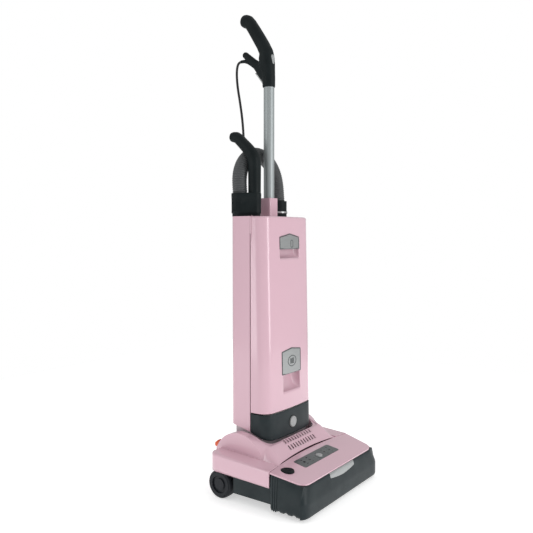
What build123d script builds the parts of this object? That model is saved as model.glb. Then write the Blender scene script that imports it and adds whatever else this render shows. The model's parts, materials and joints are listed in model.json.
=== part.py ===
from build123d import *
import math
import os

# Upright vacuum cleaner with a wide power head, a reclining body and a lift-out wand.
# Millimetres. X across (the wand is on -X), Y to the rear, Z up. The origin is on the
# floor, in the middle of the machine's footprint. Depths are written as at(d), the
# distance d back from the power head's front face.

OVERALL_DEPTH = 325
OVERALL_HEIGHT = 1236
HEAD_HALF_W = 183.5
BODY_HALF_W = 108
WALL = 3
GAP = 0.3
RUNNING = 0.05


def at(depth):
    return depth - OVERALL_DEPTH / 2


# Power head
HOOD_REAR = at(284)
HOOD_FRONT = at(97.5)
LOBE_Y, LOBE_Z, LOBE_R = at(225), 77, 78
LOBE_OUTER, LOBE_INNER = 137, 112
FORK_FRONT = at(151)
TRAY_HALF_W, TRAY_Z, TRAY_TOP = 179.5, 22, 70
BRUSH_Y, BRUSH_Z, BRUSH_R = at(50), 36, 31
CHAMBER_R, CHAMBER_HALF_W = 34, 145
MOTOR_Y, MOTOR_Z, MOTOR_R = at(128), 46, 20
ROLLER_TEETH, MOTOR_TEETH = 32, 16
TOOTH_PITCH = 3.0
ROLLER_PULLEY_R = ROLLER_TEETH * TOOTH_PITCH / (2 * math.pi)
MOTOR_PULLEY_R = MOTOR_TEETH * TOOTH_PITCH / (2 * math.pi)
WHEEL_Y, WHEEL_Z, WHEEL_R = at(250), 35, 35
WHEEL_IN, WHEEL_OUT, HUB_R, AXLE_R = 156, 184, 29, 6
CASTER_Y, CASTER_R, CASTER_X = at(108), 9, 116
PANEL_SLOPE = (98 - 82) / (98 - 12)
BUTTON_X, BUTTON_Y, BUTTON_R = -138, at(77), 16

# Upper body
PIVOT_Y, PIVOT_Z, PIVOT_R = LOBE_Y, LOBE_Z, 12
NECK_HALF_W, NECK_R = 100, 50
BODY_TOP, PARTING_Y, CASING_REAR = 697, at(212), at(274)
BAND_BOTTOM, SEAM_Z = 134, 203
DUCT_X, DUCT_Y, DUCT_R = -62, at(231.5), 18
SUCTION_X, SUCTION_Y = 31, at(229)
HINGE_Y, HINGE_Z, HINGE_R = at(163), 207.5, 1.8
LATCH_Y, LATCH_Z = at(171), 640
INLET_X, INLET_Y = 84, at(252)

# Handle, wand, hose and cord
TUBE_Y, TUBE_R, TUBE_LOW, TUBE_HIGH = at(231), 14, 640, 1075
HOSE_Y, HOSE_R, HOSE_IN_R = at(261), 19, 16
HOSE_LEFT, HOSE_RIGHT, HOSE_LOW, HOSE_RISE, HOSE_LEAN = -82, 84, 734, 46, 4.5
HOSE_BEND = (HOSE_RIGHT - HOSE_LEFT) / 2
WAND_R, WAND_LOW, WAND_HIGH = 14.5, 585, 858
CORD_D = 6.4
COIL_X, COIL_Y, COIL_Z = 30, at(297), 545
COIL_SLICES, COIL_LAYERS = 6, 4
COIL_MEAN_R = 9 * CORD_D
PLUG_Y, PLUG_Z = at(291.5), 462

os.makedirs("parts", exist_ok=True)


def save(part, name):
    part.label = name
    export_step(part, f"parts/{name}.step")


def block(x0, x1, y0, y1, z0, z1, mode=Mode.ADD):
    """A box between two corners."""
    with Locations(((x0 + x1) / 2, (y0 + y1) / 2, (z0 + z1) / 2)):
        Box(abs(x1 - x0), abs(y1 - y0), abs(z1 - z0), mode=mode)


def rod_x(x0, x1, y, z, r, mode=Mode.ADD):
    """A cylinder that lies across the machine."""
    with Locations(Location(((x0 + x1) / 2, y, z), (0, 90, 0))):
        Cylinder(r, abs(x1 - x0), mode=mode)


def rod_y(x, y0, y1, z, r, mode=Mode.ADD):
    """A cylinder that points to the rear."""
    with Locations(Location((x, (y0 + y1) / 2, z), (90, 0, 0))):
        Cylinder(r, abs(y1 - y0), mode=mode)


def rod_z(x, y, z0, z1, r, mode=Mode.ADD):
    """An upright cylinder."""
    with Locations((x, y, (z0 + z1) / 2)):
        Cylinder(r, abs(z1 - z0), mode=mode)


def prism_x(points, x0, x1, mode=Mode.ADD):
    """A side-view outline of (y, z) points, extruded across the machine."""
    with BuildSketch(Plane.YZ.offset(x0)) as side:
        with BuildLine():
            Polyline(points, close=True)
        make_face()
    extrude(side.sketch, amount=x1 - x0, mode=mode)


def prism_y(points, y0, y1, mode=Mode.ADD):
    """A front-view outline of (x, z) points, extruded from y0 back to y1."""
    with BuildSketch(Plane.XZ.offset(-y1)) as front:
        with BuildLine():
            Polyline(points, close=True)
        make_face()
    extrude(front.sketch, amount=y1 - y0, mode=mode)


# ---------------------------------------------------------------- power head


def tray_outline(inset):
    """Plan of the base tray, narrow beside the rear wheels."""
    side = TRAY_HALF_W - inset
    well = 150 - inset
    front, step, rear = at(94) + inset, at(208) - inset, at(280.5) - inset
    right = [(side, front), (side, step), (well, step), (well, rear)]
    return [(-x, y) for x, y in right] + [(x, y) for x, y in reversed(right)]


def plate_z(points, z, height, mode=Mode.ADD):
    """A plan outline of (x, y) points, extruded upwards."""
    with BuildSketch(Plane.XY.offset(z)) as plan:
        with BuildLine():
            Polyline(points, close=True)
        make_face()
    extrude(plan.sketch, amount=height, mode=mode)


with BuildPart() as base_housing:
    plate_z(tray_outline(0), TRAY_Z, TRAY_TOP - TRAY_Z)
    plate_z(tray_outline(WALL), TRAY_Z + WALL, TRAY_TOP, mode=Mode.SUBTRACT)
    # The rear wall drops between the fork arms, so that the neck can lie back
    block(-116, 116, at(270), at(290), 40, 80, mode=Mode.SUBTRACT)
    # Arched brush chamber
    rod_x(-148, 148, BRUSH_Y, BRUSH_Z, CHAMBER_R + WALL)
    block(-148, 148, at(13), at(95), 12, BRUSH_Z)
    block(-148, 148, at(84), at(95), BRUSH_Z, 60)
    block(-148, 148, at(5), at(94), -5, 12, mode=Mode.SUBTRACT)
    rod_x(-CHAMBER_HALF_W, CHAMBER_HALF_W, BRUSH_Y, BRUSH_Z, CHAMBER_R, mode=Mode.SUBTRACT)
    block(-CHAMBER_HALF_W, CHAMBER_HALF_W, BRUSH_Y - CHAMBER_R, BRUSH_Y + CHAMBER_R, 5, BRUSH_Z,
          mode=Mode.SUBTRACT)
    rod_x(-150, 150, BRUSH_Y, BRUSH_Z, 12, mode=Mode.SUBTRACT)
    # Suction mouth from the chamber into the tray
    block(-40, 40, at(70), at(100), 42, 56, mode=Mode.SUBTRACT)
    # Belt slot, fork cheeks, motor saddles, axle bosses and front roller lugs
    block(-175, -154, at(92), at(98), 26, 60, mode=Mode.SUBTRACT)
    for side in (-1, 1):
        block(side * 103, side * 108, at(192), at(258), TRAY_Z + WALL, PIVOT_Z)
        rod_x(side * 103, side * 108, PIVOT_Y, PIVOT_Z, 33)
        rod_x(side * 102, side * 109, PIVOT_Y, PIVOT_Z, PIVOT_R, mode=Mode.SUBTRACT)
        rod_x(side * 138, side * 150, WHEEL_Y, WHEEL_Z, 10)
        rod_x(side * 137, side * 151, WHEEL_Y, WHEEL_Z, AXLE_R, mode=Mode.SUBTRACT)
        for lug in (-9, 6):
            x = side * CASTER_X + lug
            block(x, x + 3, CASTER_Y - 6, CASTER_Y + 6, 5, TRAY_Z + 1)
            rod_x(x - 1, x + 4, CASTER_Y, CASTER_R, 2.55, mode=Mode.SUBTRACT)
    for x in (-128, -62):
        block(x, x + 12, MOTOR_Y - 16, MOTOR_Y + 16, TRAY_Z + WALL, 36)
    rod_x(-141, -39, MOTOR_Y, MOTOR_Z, MOTOR_R, mode=Mode.SUBTRACT)
save(base_housing.part, "base_housing")

with BuildPart() as sole_plate:
    block(-147, 147, at(13.5), at(93), 8, 12)
    block(-136, 136, at(25), at(75), 7, 13, mode=Mode.SUBTRACT)
    fillet(sole_plate.edges().filter_by(Axis.Z).group_by(Axis.X)[0], radius=3)
    fillet(sole_plate.edges().filter_by(Axis.Z).group_by(Axis.X)[-1], radius=3)
save(sole_plate.part, "sole_plate")


def head_plan(inset, front, corner, rear=at(284), rear_corner=22):
    """Plan of the head with rounded front and rear corners, as a sketch."""
    side = HEAD_HALF_W - inset
    with BuildSketch() as plan:
        with BuildLine():
            Polyline((-side, front), (side, front), (side, rear), (-side, rear), close=True)
        make_face()
        fillet(plan.vertices().group_by(Axis.Y)[0], radius=corner)
        fillet(plan.vertices().group_by(Axis.Y)[-1], radius=rear_corner)
    return plan.sketch


def bumper_form(inset):
    """Bumper bulging at a third of its height, leaning back towards its top."""
    plan = head_plan(inset, at(0) + inset, 26 - inset)
    extrude(Plane.XY.offset(8) * plan, amount=28)
    extrude(Plane.XY.offset(36) * plan, amount=41.8, taper=13)


with BuildPart() as bumper_inner:
    bumper_form(WALL)
with BuildPart() as front_bumper:
    bumper_form(0)
    add(bumper_inner.part, mode=Mode.SUBTRACT)
    block(-200, 200, at(12), at(300), 0, 120, mode=Mode.SUBTRACT)
    prism_y([(-58, 67), (0, 61), (58, 67), (58, 90), (-58, 90)], at(-5), at(20), mode=Mode.SUBTRACT)
save(front_bumper.part, "front_bumper")

with BuildPart() as bumper_badge:
    bumper_form(0)
    add(bumper_inner.part, mode=Mode.SUBTRACT)
    block(-200, 200, at(12), at(300), 0, 120, mode=Mode.SUBTRACT)
    prism_y([(-58, 67), (0, 61), (58, 67), (58, 90), (-58, 90)], at(-5), at(20), mode=Mode.INTERSECT)
save(bumper_badge.part, "bumper_badge")


def panel_z(y):
    """Height of the top panel's upper face."""
    return 82 + (y - at(12)) * PANEL_SLOPE


def panel_slab(below, above):
    """Keep only what lies in a sloping layer round the top panel's upper face."""
    low, high = at(0), at(120)
    prism_x([(low, panel_z(low) - below), (high, panel_z(high) - below), (high, panel_z(high) + above),
             (low, panel_z(low) + above)], -200, 200, mode=Mode.INTERSECT)


for name, side in (("left_side_cover", -1), ("right_side_cover", 1)):
    with BuildPart() as side_cover:
        block(side * 150, side * HEAD_HALF_W, at(12), at(94), 10, 100)
        block(side * 149, side * (HEAD_HALF_W - WALL), at(17), at(95), 14, 74, mode=Mode.SUBTRACT)
        # The top follows the panel, and the lower edge is scalloped
        prism_x([(at(0), panel_z(at(0)) - 4), (at(110), panel_z(at(110)) - 4), (at(110), 120),
                 (at(0), 120)], -200, 200, mode=Mode.SUBTRACT)
        for groove in (75, 81, 87):
            block(side * (HEAD_HALF_W - 1.2), side * 190, at(groove), at(groove + 1.6), 5, 110,
                  mode=Mode.SUBTRACT)
        for scallop in (30, 52, 74):
            rod_x(side * 149, side * 190, at(scallop), 7, 6, mode=Mode.SUBTRACT)
        rod_z(BUTTON_X, BUTTON_Y, 60, 110, BUTTON_R + 1, mode=Mode.SUBTRACT)
    save(side_cover.part, name)

def panel_plan(grow):
    """Plan of the top panel: round front corners and a rear edge that bows back."""
    side, front, rear, corner = 181 + grow, at(10) - grow, at(98) + grow, 25
    with BuildSketch() as plan:
        with BuildLine():
            Line((-side, rear), (-side, front + corner))
            TangentArc((-side, front + corner), (corner - side, front), tangent=(0, -1))
            Line((corner - side, front), (side - corner, front))
            TangentArc((side - corner, front), (side, front + corner), tangent=(1, 0))
            Line((side, front + corner), (side, rear))
            ThreePointArc((side, rear), (0, at(112) + grow), (-side, rear))
        make_face()
    return plan.sketch


with BuildPart() as top_panel:
    extrude(panel_plan(0), amount=140)
    panel_slab(3.7, 0)
    rod_z(BUTTON_X, BUTTON_Y, 60, 120, BUTTON_R + 0.6, mode=Mode.SUBTRACT)
    block(-89, 81, at(57), at(96), 60, 120, mode=Mode.SUBTRACT)
save(top_panel.part, "top_panel")

with BuildPart() as display_panel:
    with BuildSketch():
        with BuildLine():
            Polyline((-88.5, at(95)), (-88.5, at(57.5)), (80.5, at(57.5)), (80.5, at(95)))
            ThreePointArc((80.5, at(95)), (-4, at(95.8)), (-88.5, at(95)))
        make_face()
    extrude(amount=140)
    panel_slab(3, 0.6)
    rod_z(-3, at(73), 60, 120, 9.5, mode=Mode.SUBTRACT)
    for x in (-66, -42, 28, 52):
        rod_z(x, at(76), 60, 120, 3, mode=Mode.SUBTRACT)
save(display_panel.part, "display_panel")

with BuildPart() as indicator_lenses:
    for x in (-66, -42, 28, 52):
        rod_z(x, at(76), panel_z(at(76)) - 2.5, panel_z(at(76)) + 1, 3)
save(indicator_lenses.part, "indicator_lenses")

with BuildPart() as mode_button:
    rod_z(-3, at(73), panel_z(at(73)) - 5, panel_z(at(73)) + 3, 9)
    fillet(mode_button.edges().group_by(Axis.Z)[-1], radius=2)
save(mode_button.part, "mode_button")

with BuildPart() as brush_release_button:
    rod_z(BUTTON_X, BUTTON_Y, panel_z(BUTTON_Y) - 9, panel_z(BUTTON_Y) + 2.2, BUTTON_R)
    fillet(brush_release_button.edges().group_by(Axis.Z)[-1], radius=1.5)
save(brush_release_button.part, "brush_release_button")

with BuildPart() as brush_core:
    rod_x(-138, 138, BRUSH_Y, BRUSH_Z, 18)
    rod_x(-176, 154, BRUSH_Y, BRUSH_Z, 6)
save(brush_core.part, "brush_core")

TUFT_STEPS, TUFT_W = 13, 20
with BuildPart() as brush_bristles:
    for step in range(TUFT_STEPS):
        x = (step - (TUFT_STEPS - 1) / 2) * (TUFT_W + 1)
        for start in (0, 180):
            turn = start + step * 14
            with Locations(Location((x, BRUSH_Y, BRUSH_Z), (turn, 0, 0))):
                with Locations((0, 0, 24)):
                    Box(TUFT_W, 4, 2 * (BRUSH_R - 24.1))
save(brush_bristles.part, "brush_bristles")


def toothed_pulley(x0, x1, y, z, radius, teeth):
    """A toothed pulley that lies across the machine."""
    rod_x(x0, x1, y, z, radius)
    for tooth in range(teeth):
        angle = 2 * math.pi * tooth / teeth
        rod_x(x0 - 1, x1 + 1, y + radius * math.cos(angle), z + radius * math.sin(angle), 0.7,
              mode=Mode.SUBTRACT)


with BuildPart() as roller_pulley:
    toothed_pulley(-171, -157, BRUSH_Y, BRUSH_Z, ROLLER_PULLEY_R, ROLLER_TEETH)
    rod_x(-175, -150, BRUSH_Y, BRUSH_Z, 6, mode=Mode.SUBTRACT)
save(roller_pulley.part, "roller_pulley")

with BuildPart() as motor_pulley:
    toothed_pulley(-171, -157, MOTOR_Y, MOTOR_Z, MOTOR_PULLEY_R, MOTOR_TEETH)
    rod_x(-158, -134, MOTOR_Y, MOTOR_Z, 3)
save(motor_pulley.part, "motor_pulley")


def belt_loop(clearance):
    """The belt's path round both pulleys, as a closed sketch."""
    with BuildSketch(Plane.YZ.offset(-169)) as loop:
        with Locations((BRUSH_Y, BRUSH_Z)):
            Circle(ROLLER_PULLEY_R + clearance)
        with Locations((MOTOR_Y, MOTOR_Z)):
            Circle(MOTOR_PULLEY_R + clearance)
        make_hull()
    return loop.sketch


with BuildPart() as drive_belt:
    extrude(belt_loop(GAP + 2), amount=10)
    extrude(belt_loop(GAP), amount=10, mode=Mode.SUBTRACT)
save(drive_belt.part, "drive_belt")

with BuildPart() as brush_motor:
    rod_x(-140, -40, MOTOR_Y, MOTOR_Z, MOTOR_R)
    rod_x(-141, -133, MOTOR_Y, MOTOR_Z, 3 + RUNNING, mode=Mode.SUBTRACT)
    fillet(brush_motor.edges().group_by(Axis.X)[-1], radius=3)
save(brush_motor.part, "brush_motor")

with BuildPart() as roller_bearings:
    for side in (-1, 1):
        rod_x(side * 144, side * 152, BRUSH_Y, BRUSH_Z, 12)
        rod_x(side * 140, side * 154, BRUSH_Y, BRUSH_Z, 6 + RUNNING, mode=Mode.SUBTRACT)
save(roller_bearings.part, "roller_bearings")


def hood_form(inset):
    """Outer form of the hood: shoulders, front slope and the two round lobes."""
    low, high = 60, 98 - inset
    extrude(Plane.XY.offset(low) * head_plan(inset, HOOD_FRONT, 2, HOOD_REAR - inset, 22 - inset), amount=52)
    prism_x([(HOOD_FRONT, low + 1), (HOOD_REAR, 66), (HOOD_REAR, 110 - inset), (HOOD_FRONT, high)],
            -HEAD_HALF_W, HEAD_HALF_W, mode=Mode.INTERSECT)
    edge = 122 - inset
    prism_x([(HOOD_FRONT, 75), (HOOD_FRONT, high), (at(113), 105 - inset), (at(131), 121 - inset),
             (at(143), 131 - inset), (at(152), 133 - inset), (at(165), 137 - inset), (at(225), 137 - inset),
             (at(225), 75)], -edge, edge)
    outer = LOBE_OUTER - inset
    with BuildSketch(Plane.YZ.offset(-outer)) as lobe:
        with Locations((LOBE_Y, LOBE_Z)):
            Circle(LOBE_R - inset)
        with Locations((LOBE_Y, 75 - LOBE_R)):
            Rectangle(220, 2 * LOBE_R, mode=Mode.SUBTRACT)
        with Locations((at(292) - inset + 25, 120)):
            Rectangle(50, 200, mode=Mode.SUBTRACT)
    extrude(lobe.sketch, amount=2 * outer)


with BuildPart() as hood_inner:
    hood_form(WALL)
    block(-200, 200, at(90), HOOD_REAR - WALL, 55, 76)
    block(-LOBE_INNER - WALL, LOBE_INNER + WALL, FORK_FRONT - WALL, at(320), 50, 200, mode=Mode.SUBTRACT)
    block(-HEAD_HALF_W + WALL, -LOBE_INNER - WALL, at(110), HOOD_REAR - WALL, 55, 70)
    block(LOBE_INNER + WALL, HEAD_HALF_W - WALL, at(110), HOOD_REAR - WALL, 55, 70)
with BuildPart() as hood:
    hood_form(0)
    with BuildPart(mode=Mode.PRIVATE) as skirt_limit:
        block(-HEAD_HALF_W + WALL, HEAD_HALF_W - WALL, at(80), at(320), 50, 200)
        add(hood_inner.part, mode=Mode.INTERSECT)
    add(skirt_limit.part, mode=Mode.SUBTRACT)
    block(-LOBE_INNER, LOBE_INNER, FORK_FRONT, at(320), 50, 200, mode=Mode.SUBTRACT)
    # The panel's bowed rear edge lies in a seat cut from the hood's front
    with BuildPart(mode=Mode.PRIVATE) as panel_seat:
        extrude(Plane.XY.offset(72) * panel_plan(GAP), amount=40)
        block(-200, 200, at(0), HOOD_FRONT + 0.5, 50, 140)
    add(panel_seat.part, mode=Mode.SUBTRACT)
    # Wheel arches
    for side in (-1, 1):
        rod_x(side * 150, side * 190, WHEEL_Y, WHEEL_Z, 38, mode=Mode.SUBTRACT)
    # Cooling slots in two rows
    for row_y, row_z in ((at(143), 131), (at(131), 121)):
        for slot in range(11):
            with Locations(Location((-55 + 11.4 * slot, row_y, row_z), (40, 0, 0))):
                Box(3.6, 10, 14, mode=Mode.SUBTRACT)
    # The pedal's window behind the left lobe
    block(-134, -117, at(255), at(320), 92, 128, mode=Mode.SUBTRACT)
save(hood.part, "hood")

with BuildPart() as pivot_pins:
    for side in (-1, 1):
        rod_x(side * 91, side * 108, PIVOT_Y, PIVOT_Z, PIVOT_R)
save(pivot_pins.part, "pivot_pins")

with BuildPart() as rear_axles:
    for side in (-1, 1):
        rod_x(side * 138, side * 182, WHEEL_Y, WHEEL_Z, AXLE_R)
save(rear_axles.part, "rear_axles")

for name, side in (("left", -1), ("right", 1)):
    with BuildPart() as wheel:
        rod_x(side * WHEEL_IN, side * WHEEL_OUT, WHEEL_Y, WHEEL_Z, HUB_R)
        rod_x(side * (WHEEL_OUT - 4), side * WHEEL_OUT, WHEEL_Y, WHEEL_Z, 22, mode=Mode.SUBTRACT)
        rod_x(side * (WHEEL_OUT - 4), side * (WHEEL_OUT - 1), WHEEL_Y, WHEEL_Z, 14)
        rod_x(side * (WHEEL_IN - 1), side * (WHEEL_OUT - 1.5), WHEEL_Y, WHEEL_Z, AXLE_R + RUNNING,
              mode=Mode.SUBTRACT)
    save(wheel.part, name + "_wheel")
    with BuildPart() as tyre:
        rod_x(side * WHEEL_IN, side * (WHEEL_OUT - 1), WHEEL_Y, WHEEL_Z, WHEEL_R)
        fillet(tyre.edges(), radius=4)
        rod_x(side * (WHEEL_IN - 1), side * WHEEL_OUT, WHEEL_Y, WHEEL_Z, HUB_R, mode=Mode.SUBTRACT)
    save(tyre.part, name + "_tyre")
    with BuildPart() as roller:
        rod_x(side * CASTER_X - 5.5, side * CASTER_X + 5.5, CASTER_Y, CASTER_R, CASTER_R)
        rod_x(side * CASTER_X - 9, side * CASTER_X + 9, CASTER_Y, CASTER_R, 2.5)
    save(roller.part, name + "_front_roller")

PEDAL_Y, PEDAL_Z = at(262), 104
with BuildPart() as release_pedal:
    rod_x(-133, -118, PEDAL_Y, PEDAL_Z, 5)
    prism_x([(PEDAL_Y, 100), (at(285), 106), (at(303), 108), (at(305), 116), (at(290), 121), (PEDAL_Y, 109)],
            -133.5, -118)
    fillet(release_pedal.faces().sort_by(Axis.Y)[-1].edges(), radius=2)
save(release_pedal.part, "release_pedal")

# ---------------------------------------------------------------- upper body

def casing_z(depth):
    """Height of the casing's sloping underside."""
    return 155 + (depth - 212) * 13 / 62


with BuildPart() as neck:
    rod_x(-NECK_HALF_W, NECK_HALF_W, PIVOT_Y, PIVOT_Z, NECK_R)
    prism_x([(at(178), PIVOT_Z), (at(262), PIVOT_Z), (at(262), casing_z(262)), (at(178), casing_z(178))],
            -NECK_HALF_W, NECK_HALF_W)
    rod_x(-97, 97, PIVOT_Y, PIVOT_Z, NECK_R - 4, mode=Mode.SUBTRACT)
    prism_x([(at(182), PIVOT_Z), (at(258), PIVOT_Z), (at(258), casing_z(258) - 4),
             (at(182), casing_z(182) - 4)], -96, 96, mode=Mode.SUBTRACT)
    for side in (-1, 1):
        rod_x(side * 86, side * NECK_HALF_W, PIVOT_Y, PIVOT_Z, 20)
        rod_x(side * 90, side * 101, PIVOT_Y, PIVOT_Z, PIVOT_R + RUNNING, mode=Mode.SUBTRACT)
    block(-40, 40, at(170), at(200), 40, 58, mode=Mode.SUBTRACT)
    rod_z(DUCT_X, DUCT_Y, 100, 180, DUCT_R, mode=Mode.SUBTRACT)
save(neck.part, "neck")

CASING_SIDE = [(PARTING_Y, casing_z(212)), (CASING_REAR, casing_z(274)), (CASING_REAR, BODY_TOP),
               (PARTING_Y, BODY_TOP)]


def casing_plan(inset):
    """Plan of the rear casing with rounded rear corners."""
    side = BODY_HALF_W - inset
    with BuildSketch() as plan:
        with BuildLine():
            Polyline((-side, at(190)), (side, at(190)), (side, CASING_REAR - inset),
                     (-side, CASING_REAR - inset), close=True)
        make_face()
        fillet(plan.vertices().group_by(Axis.Y)[-1], radius=14 - inset)
    return plan.sketch


with BuildPart() as rear_casing:
    extrude(Plane.XY.offset(140) * casing_plan(0), amount=600)
    prism_x(CASING_SIDE, -120, 120, mode=Mode.INTERSECT)
    with BuildPart(mode=Mode.PRIVATE) as casing_inner:
        extrude(Plane.XY.offset(140) * casing_plan(WALL), amount=600)
        prism_x([(at(150), casing_z(150) + WALL), (CASING_REAR, casing_z(274) + WALL),
                 (CASING_REAR, BODY_TOP - WALL), (at(150), BODY_TOP - WALL)], -120, 120, mode=Mode.INTERSECT)
    add(casing_inner.part, mode=Mode.SUBTRACT)
    rod_z(DUCT_X, DUCT_Y, 140, 700, DUCT_R, mode=Mode.SUBTRACT)
    rod_z(INLET_X, INLET_Y, 690, 700, 17, mode=Mode.SUBTRACT)
    block(-18, 18, at(214), at(248), 690, 700, mode=Mode.SUBTRACT)
save(rear_casing.part, "rear_casing")


def front_y(z):
    """Depth of the body's front face at a height: it leans back towards the top."""
    return at(154 + (z - BAND_BOTTOM) * 12.5 / (BODY_TOP - BAND_BOTTOM))


def front_section(z, inset, back):
    """Plan of the body's front half at one height: crowned, with round corners."""
    side, front = BODY_HALF_W - inset, front_y(z) + inset
    with BuildSketch(Plane.XY.offset(z)) as section:
        with BuildLine():
            Polyline((side, front + 7), (side, back), (-side, back), (-side, front + 7))
            ThreePointArc((-side, front + 7), (0, front), (side, front + 7))
        make_face()
        fillet(section.vertices().group_by(Axis.Y)[0], radius=20 - inset)
    return section.sketch


COVER_LOW, COVER_REAR = SEAM_Z + 0.5, PARTING_Y - 1.4
RECESS_BACK = at(186)
GRIP_PLATE = [(-41, 294), (41, 294), (41, 351), (0, 357), (-41, 351)]
LATCH_PLATE = [(-42, 615), (42, 615), (42, 643), (0, 651), (-42, 643)]
with BuildPart() as front_cover:
    loft([front_section(COVER_LOW, 0, COVER_REAR), front_section(BODY_TOP, 0, COVER_REAR)], ruled=True)
    fillet(front_cover.faces().sort_by(Axis.Z)[-1].edges().filter_by(GeomType.LINE, reverse=True), radius=5)
    loft([front_section(COVER_LOW - 1, WALL, at(240)), front_section(BODY_TOP - WALL, WALL, at(240))],
         ruled=True, mode=Mode.SUBTRACT)
    # Carrying recess, with the grip plate across its upper part
    block(-44, 44, at(158), RECESS_BACK, 245, 362)
    block(-38, 38, at(160), RECESS_BACK - WALL, 249, 358, mode=Mode.SUBTRACT)
    block(-38, 38, at(140), at(170), 249, 294.5, mode=Mode.SUBTRACT)
    prism_y(GRIP_PLATE, at(140), at(160.3), mode=Mode.SUBTRACT)
    # Finger recess under the latch
    block(-46, 46, at(168), at(187), 586, 656)
    block(-43, 43, at(140), at(184), 591, 614.5, mode=Mode.SUBTRACT)
    block(-43, 43, at(167), at(184), 591, 653, mode=Mode.SUBTRACT)
    prism_y([(-43, 614), (43, 614), (43, 644.5), (0, 653), (-43, 644.5)], at(140), at(170),
            mode=Mode.SUBTRACT)
    rod_x(-45, 45, LATCH_Y, LATCH_Z, 2 + RUNNING, mode=Mode.SUBTRACT)
    # Hinge knuckles at the lower edge, whose outer corner is eased to swing past the band
    for side in (-1, 1):
        rod_x(side * 20, side * 28, HINGE_Y, HINGE_Z, 3.4)
        block(side * 20, side * 28, at(158), HINGE_Y, HINGE_Z - 2.5, HINGE_Z + 3)
        rod_x(side * 19, side * 29, HINGE_Y, HINGE_Z, HINGE_R + RUNNING, mode=Mode.SUBTRACT)
    prism_x([(at(150), 200), (at(160), 200), (at(158), COVER_LOW), (at(155.5), COVER_LOW + 2.2),
             (at(150), COVER_LOW + 2.2)], -75, 75, mode=Mode.SUBTRACT)
save(front_cover.part, "front_cover")

with BuildPart() as grip_plate:
    prism_y(GRIP_PLATE, at(156), at(160.3))
save(grip_plate.part, "grip_plate")

with BuildPart() as cover_latch:
    prism_y(LATCH_PLATE, at(163.5), at(168))
    block(-30, 30, at(167), LATCH_Y, 637, 643)
    rod_x(-30, 30, LATCH_Y, LATCH_Z, 3.2)
    rod_x(-44.5, 44.5, LATCH_Y, LATCH_Z, 2)
save(cover_latch.part, "cover_latch")

with BuildPart() as exhaust_cover:
    loft([front_section(BAND_BOTTOM, 0, COVER_REAR), front_section(SEAM_Z - 2.2, 0, COVER_REAR)], ruled=True)
    loft([front_section(BAND_BOTTOM - 1, WALL, at(240)), front_section(SEAM_Z + 1, WALL, at(240))],
         ruled=True, mode=Mode.SUBTRACT)
    prism_x([(at(140), 120), (at(240), 120), (at(240), 162), (at(212), 153), (at(184), 143), (at(162), 135.5),
             (at(156), 133.9), (at(140), 133.9)], -120, 120, mode=Mode.SUBTRACT)
    rod_y(0, at(140), at(170), 166, 14.7, mode=Mode.SUBTRACT)
save(exhaust_cover.part, "exhaust_cover")

with BuildPart() as exhaust_button:
    rod_y(0, at(153.6), at(158.2), 166, 14.4)
    fillet(exhaust_button.edges().group_by(Axis.Y)[0], radius=1)
save(exhaust_button.part, "exhaust_button")

HOUSING_FRONT, HOUSING_REAR = at(189), at(269.5)
with BuildPart() as motor_housing:
    block(-38, 98, HOUSING_FRONT, HOUSING_REAR, 173, 320)
    block(-35.5, 95.5, HOUSING_FRONT + 2.5, HOUSING_REAR - 2.5, 175.5, 317.5, mode=Mode.SUBTRACT)
    rod_z(SUCTION_X, SUCTION_Y, 310, 325, 26, mode=Mode.SUBTRACT)
    for slot in range(6):
        x = -22 + 20 * slot
        block(x, x + 10, at(180), HOUSING_FRONT + 5, 180, 198, mode=Mode.SUBTRACT)
    # Motor seat
    rod_z(SUCTION_X, SUCTION_Y, 175.5, 186, 34)
    rod_z(SUCTION_X, SUCTION_Y, 170, 190, 24, mode=Mode.SUBTRACT)
    # Cross bar with the cover hinge's arms
    block(-100, 100, at(186.2), HOUSING_FRONT, 202.5, 216)
    for side in (-1, 1):
        block(side * 29, side * 34, HINGE_Y, at(188), 204.5, 210.5)
        rod_x(side * 29, side * 34, HINGE_Y, HINGE_Z, 3)
        rod_x(side * 28, side * 35, HINGE_Y, HINGE_Z, HINGE_R, mode=Mode.SUBTRACT)
save(motor_housing.part, "motor_housing")

with BuildPart() as cover_hinge_pin:
    rod_x(-34, 34, HINGE_Y, HINGE_Z, HINGE_R)
save(cover_hinge_pin.part, "cover_hinge_pin")

with BuildPart() as vacuum_motor:
    rod_z(SUCTION_X, SUCTION_Y, 186, 292, 36.5)
    rod_z(SUCTION_X, SUCTION_Y, 190, 288, 33.5, mode=Mode.SUBTRACT)
    rod_z(SUCTION_X, SUCTION_Y, 285, 295, 20, mode=Mode.SUBTRACT)
    rod_z(SUCTION_X, SUCTION_Y, 180, 200, 5 + RUNNING, mode=Mode.SUBTRACT)
save(vacuum_motor.part, "vacuum_motor")

with BuildPart() as fan_rotor:
    rod_z(SUCTION_X, SUCTION_Y, 184, 284, 5)
    rod_z(SUCTION_X, SUCTION_Y, 198, 240, 22)
    rod_z(SUCTION_X, SUCTION_Y, 262, 264, 31)
    for blade in range(12):
        with Locations(Location((SUCTION_X, SUCTION_Y, 273), (0, 0, 30 * blade))):
            with Locations((19, 0, 0)):
                Box(22, 1.6, 18)
save(fan_rotor.part, "fan_rotor")

with BuildPart() as pre_motor_filter:
    block(-32, 98, at(192), at(266), 320, 329)
    fillet(pre_motor_filter.edges().filter_by(Axis.Z), radius=6)
save(pre_motor_filter.part, "pre_motor_filter")

with BuildPart() as exhaust_filter:
    block(-92, 92, at(166), at(185), 152, 199)
    fillet(exhaust_filter.edges().filter_by(Axis.Z), radius=3)
save(exhaust_filter.part, "exhaust_filter")

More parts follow.
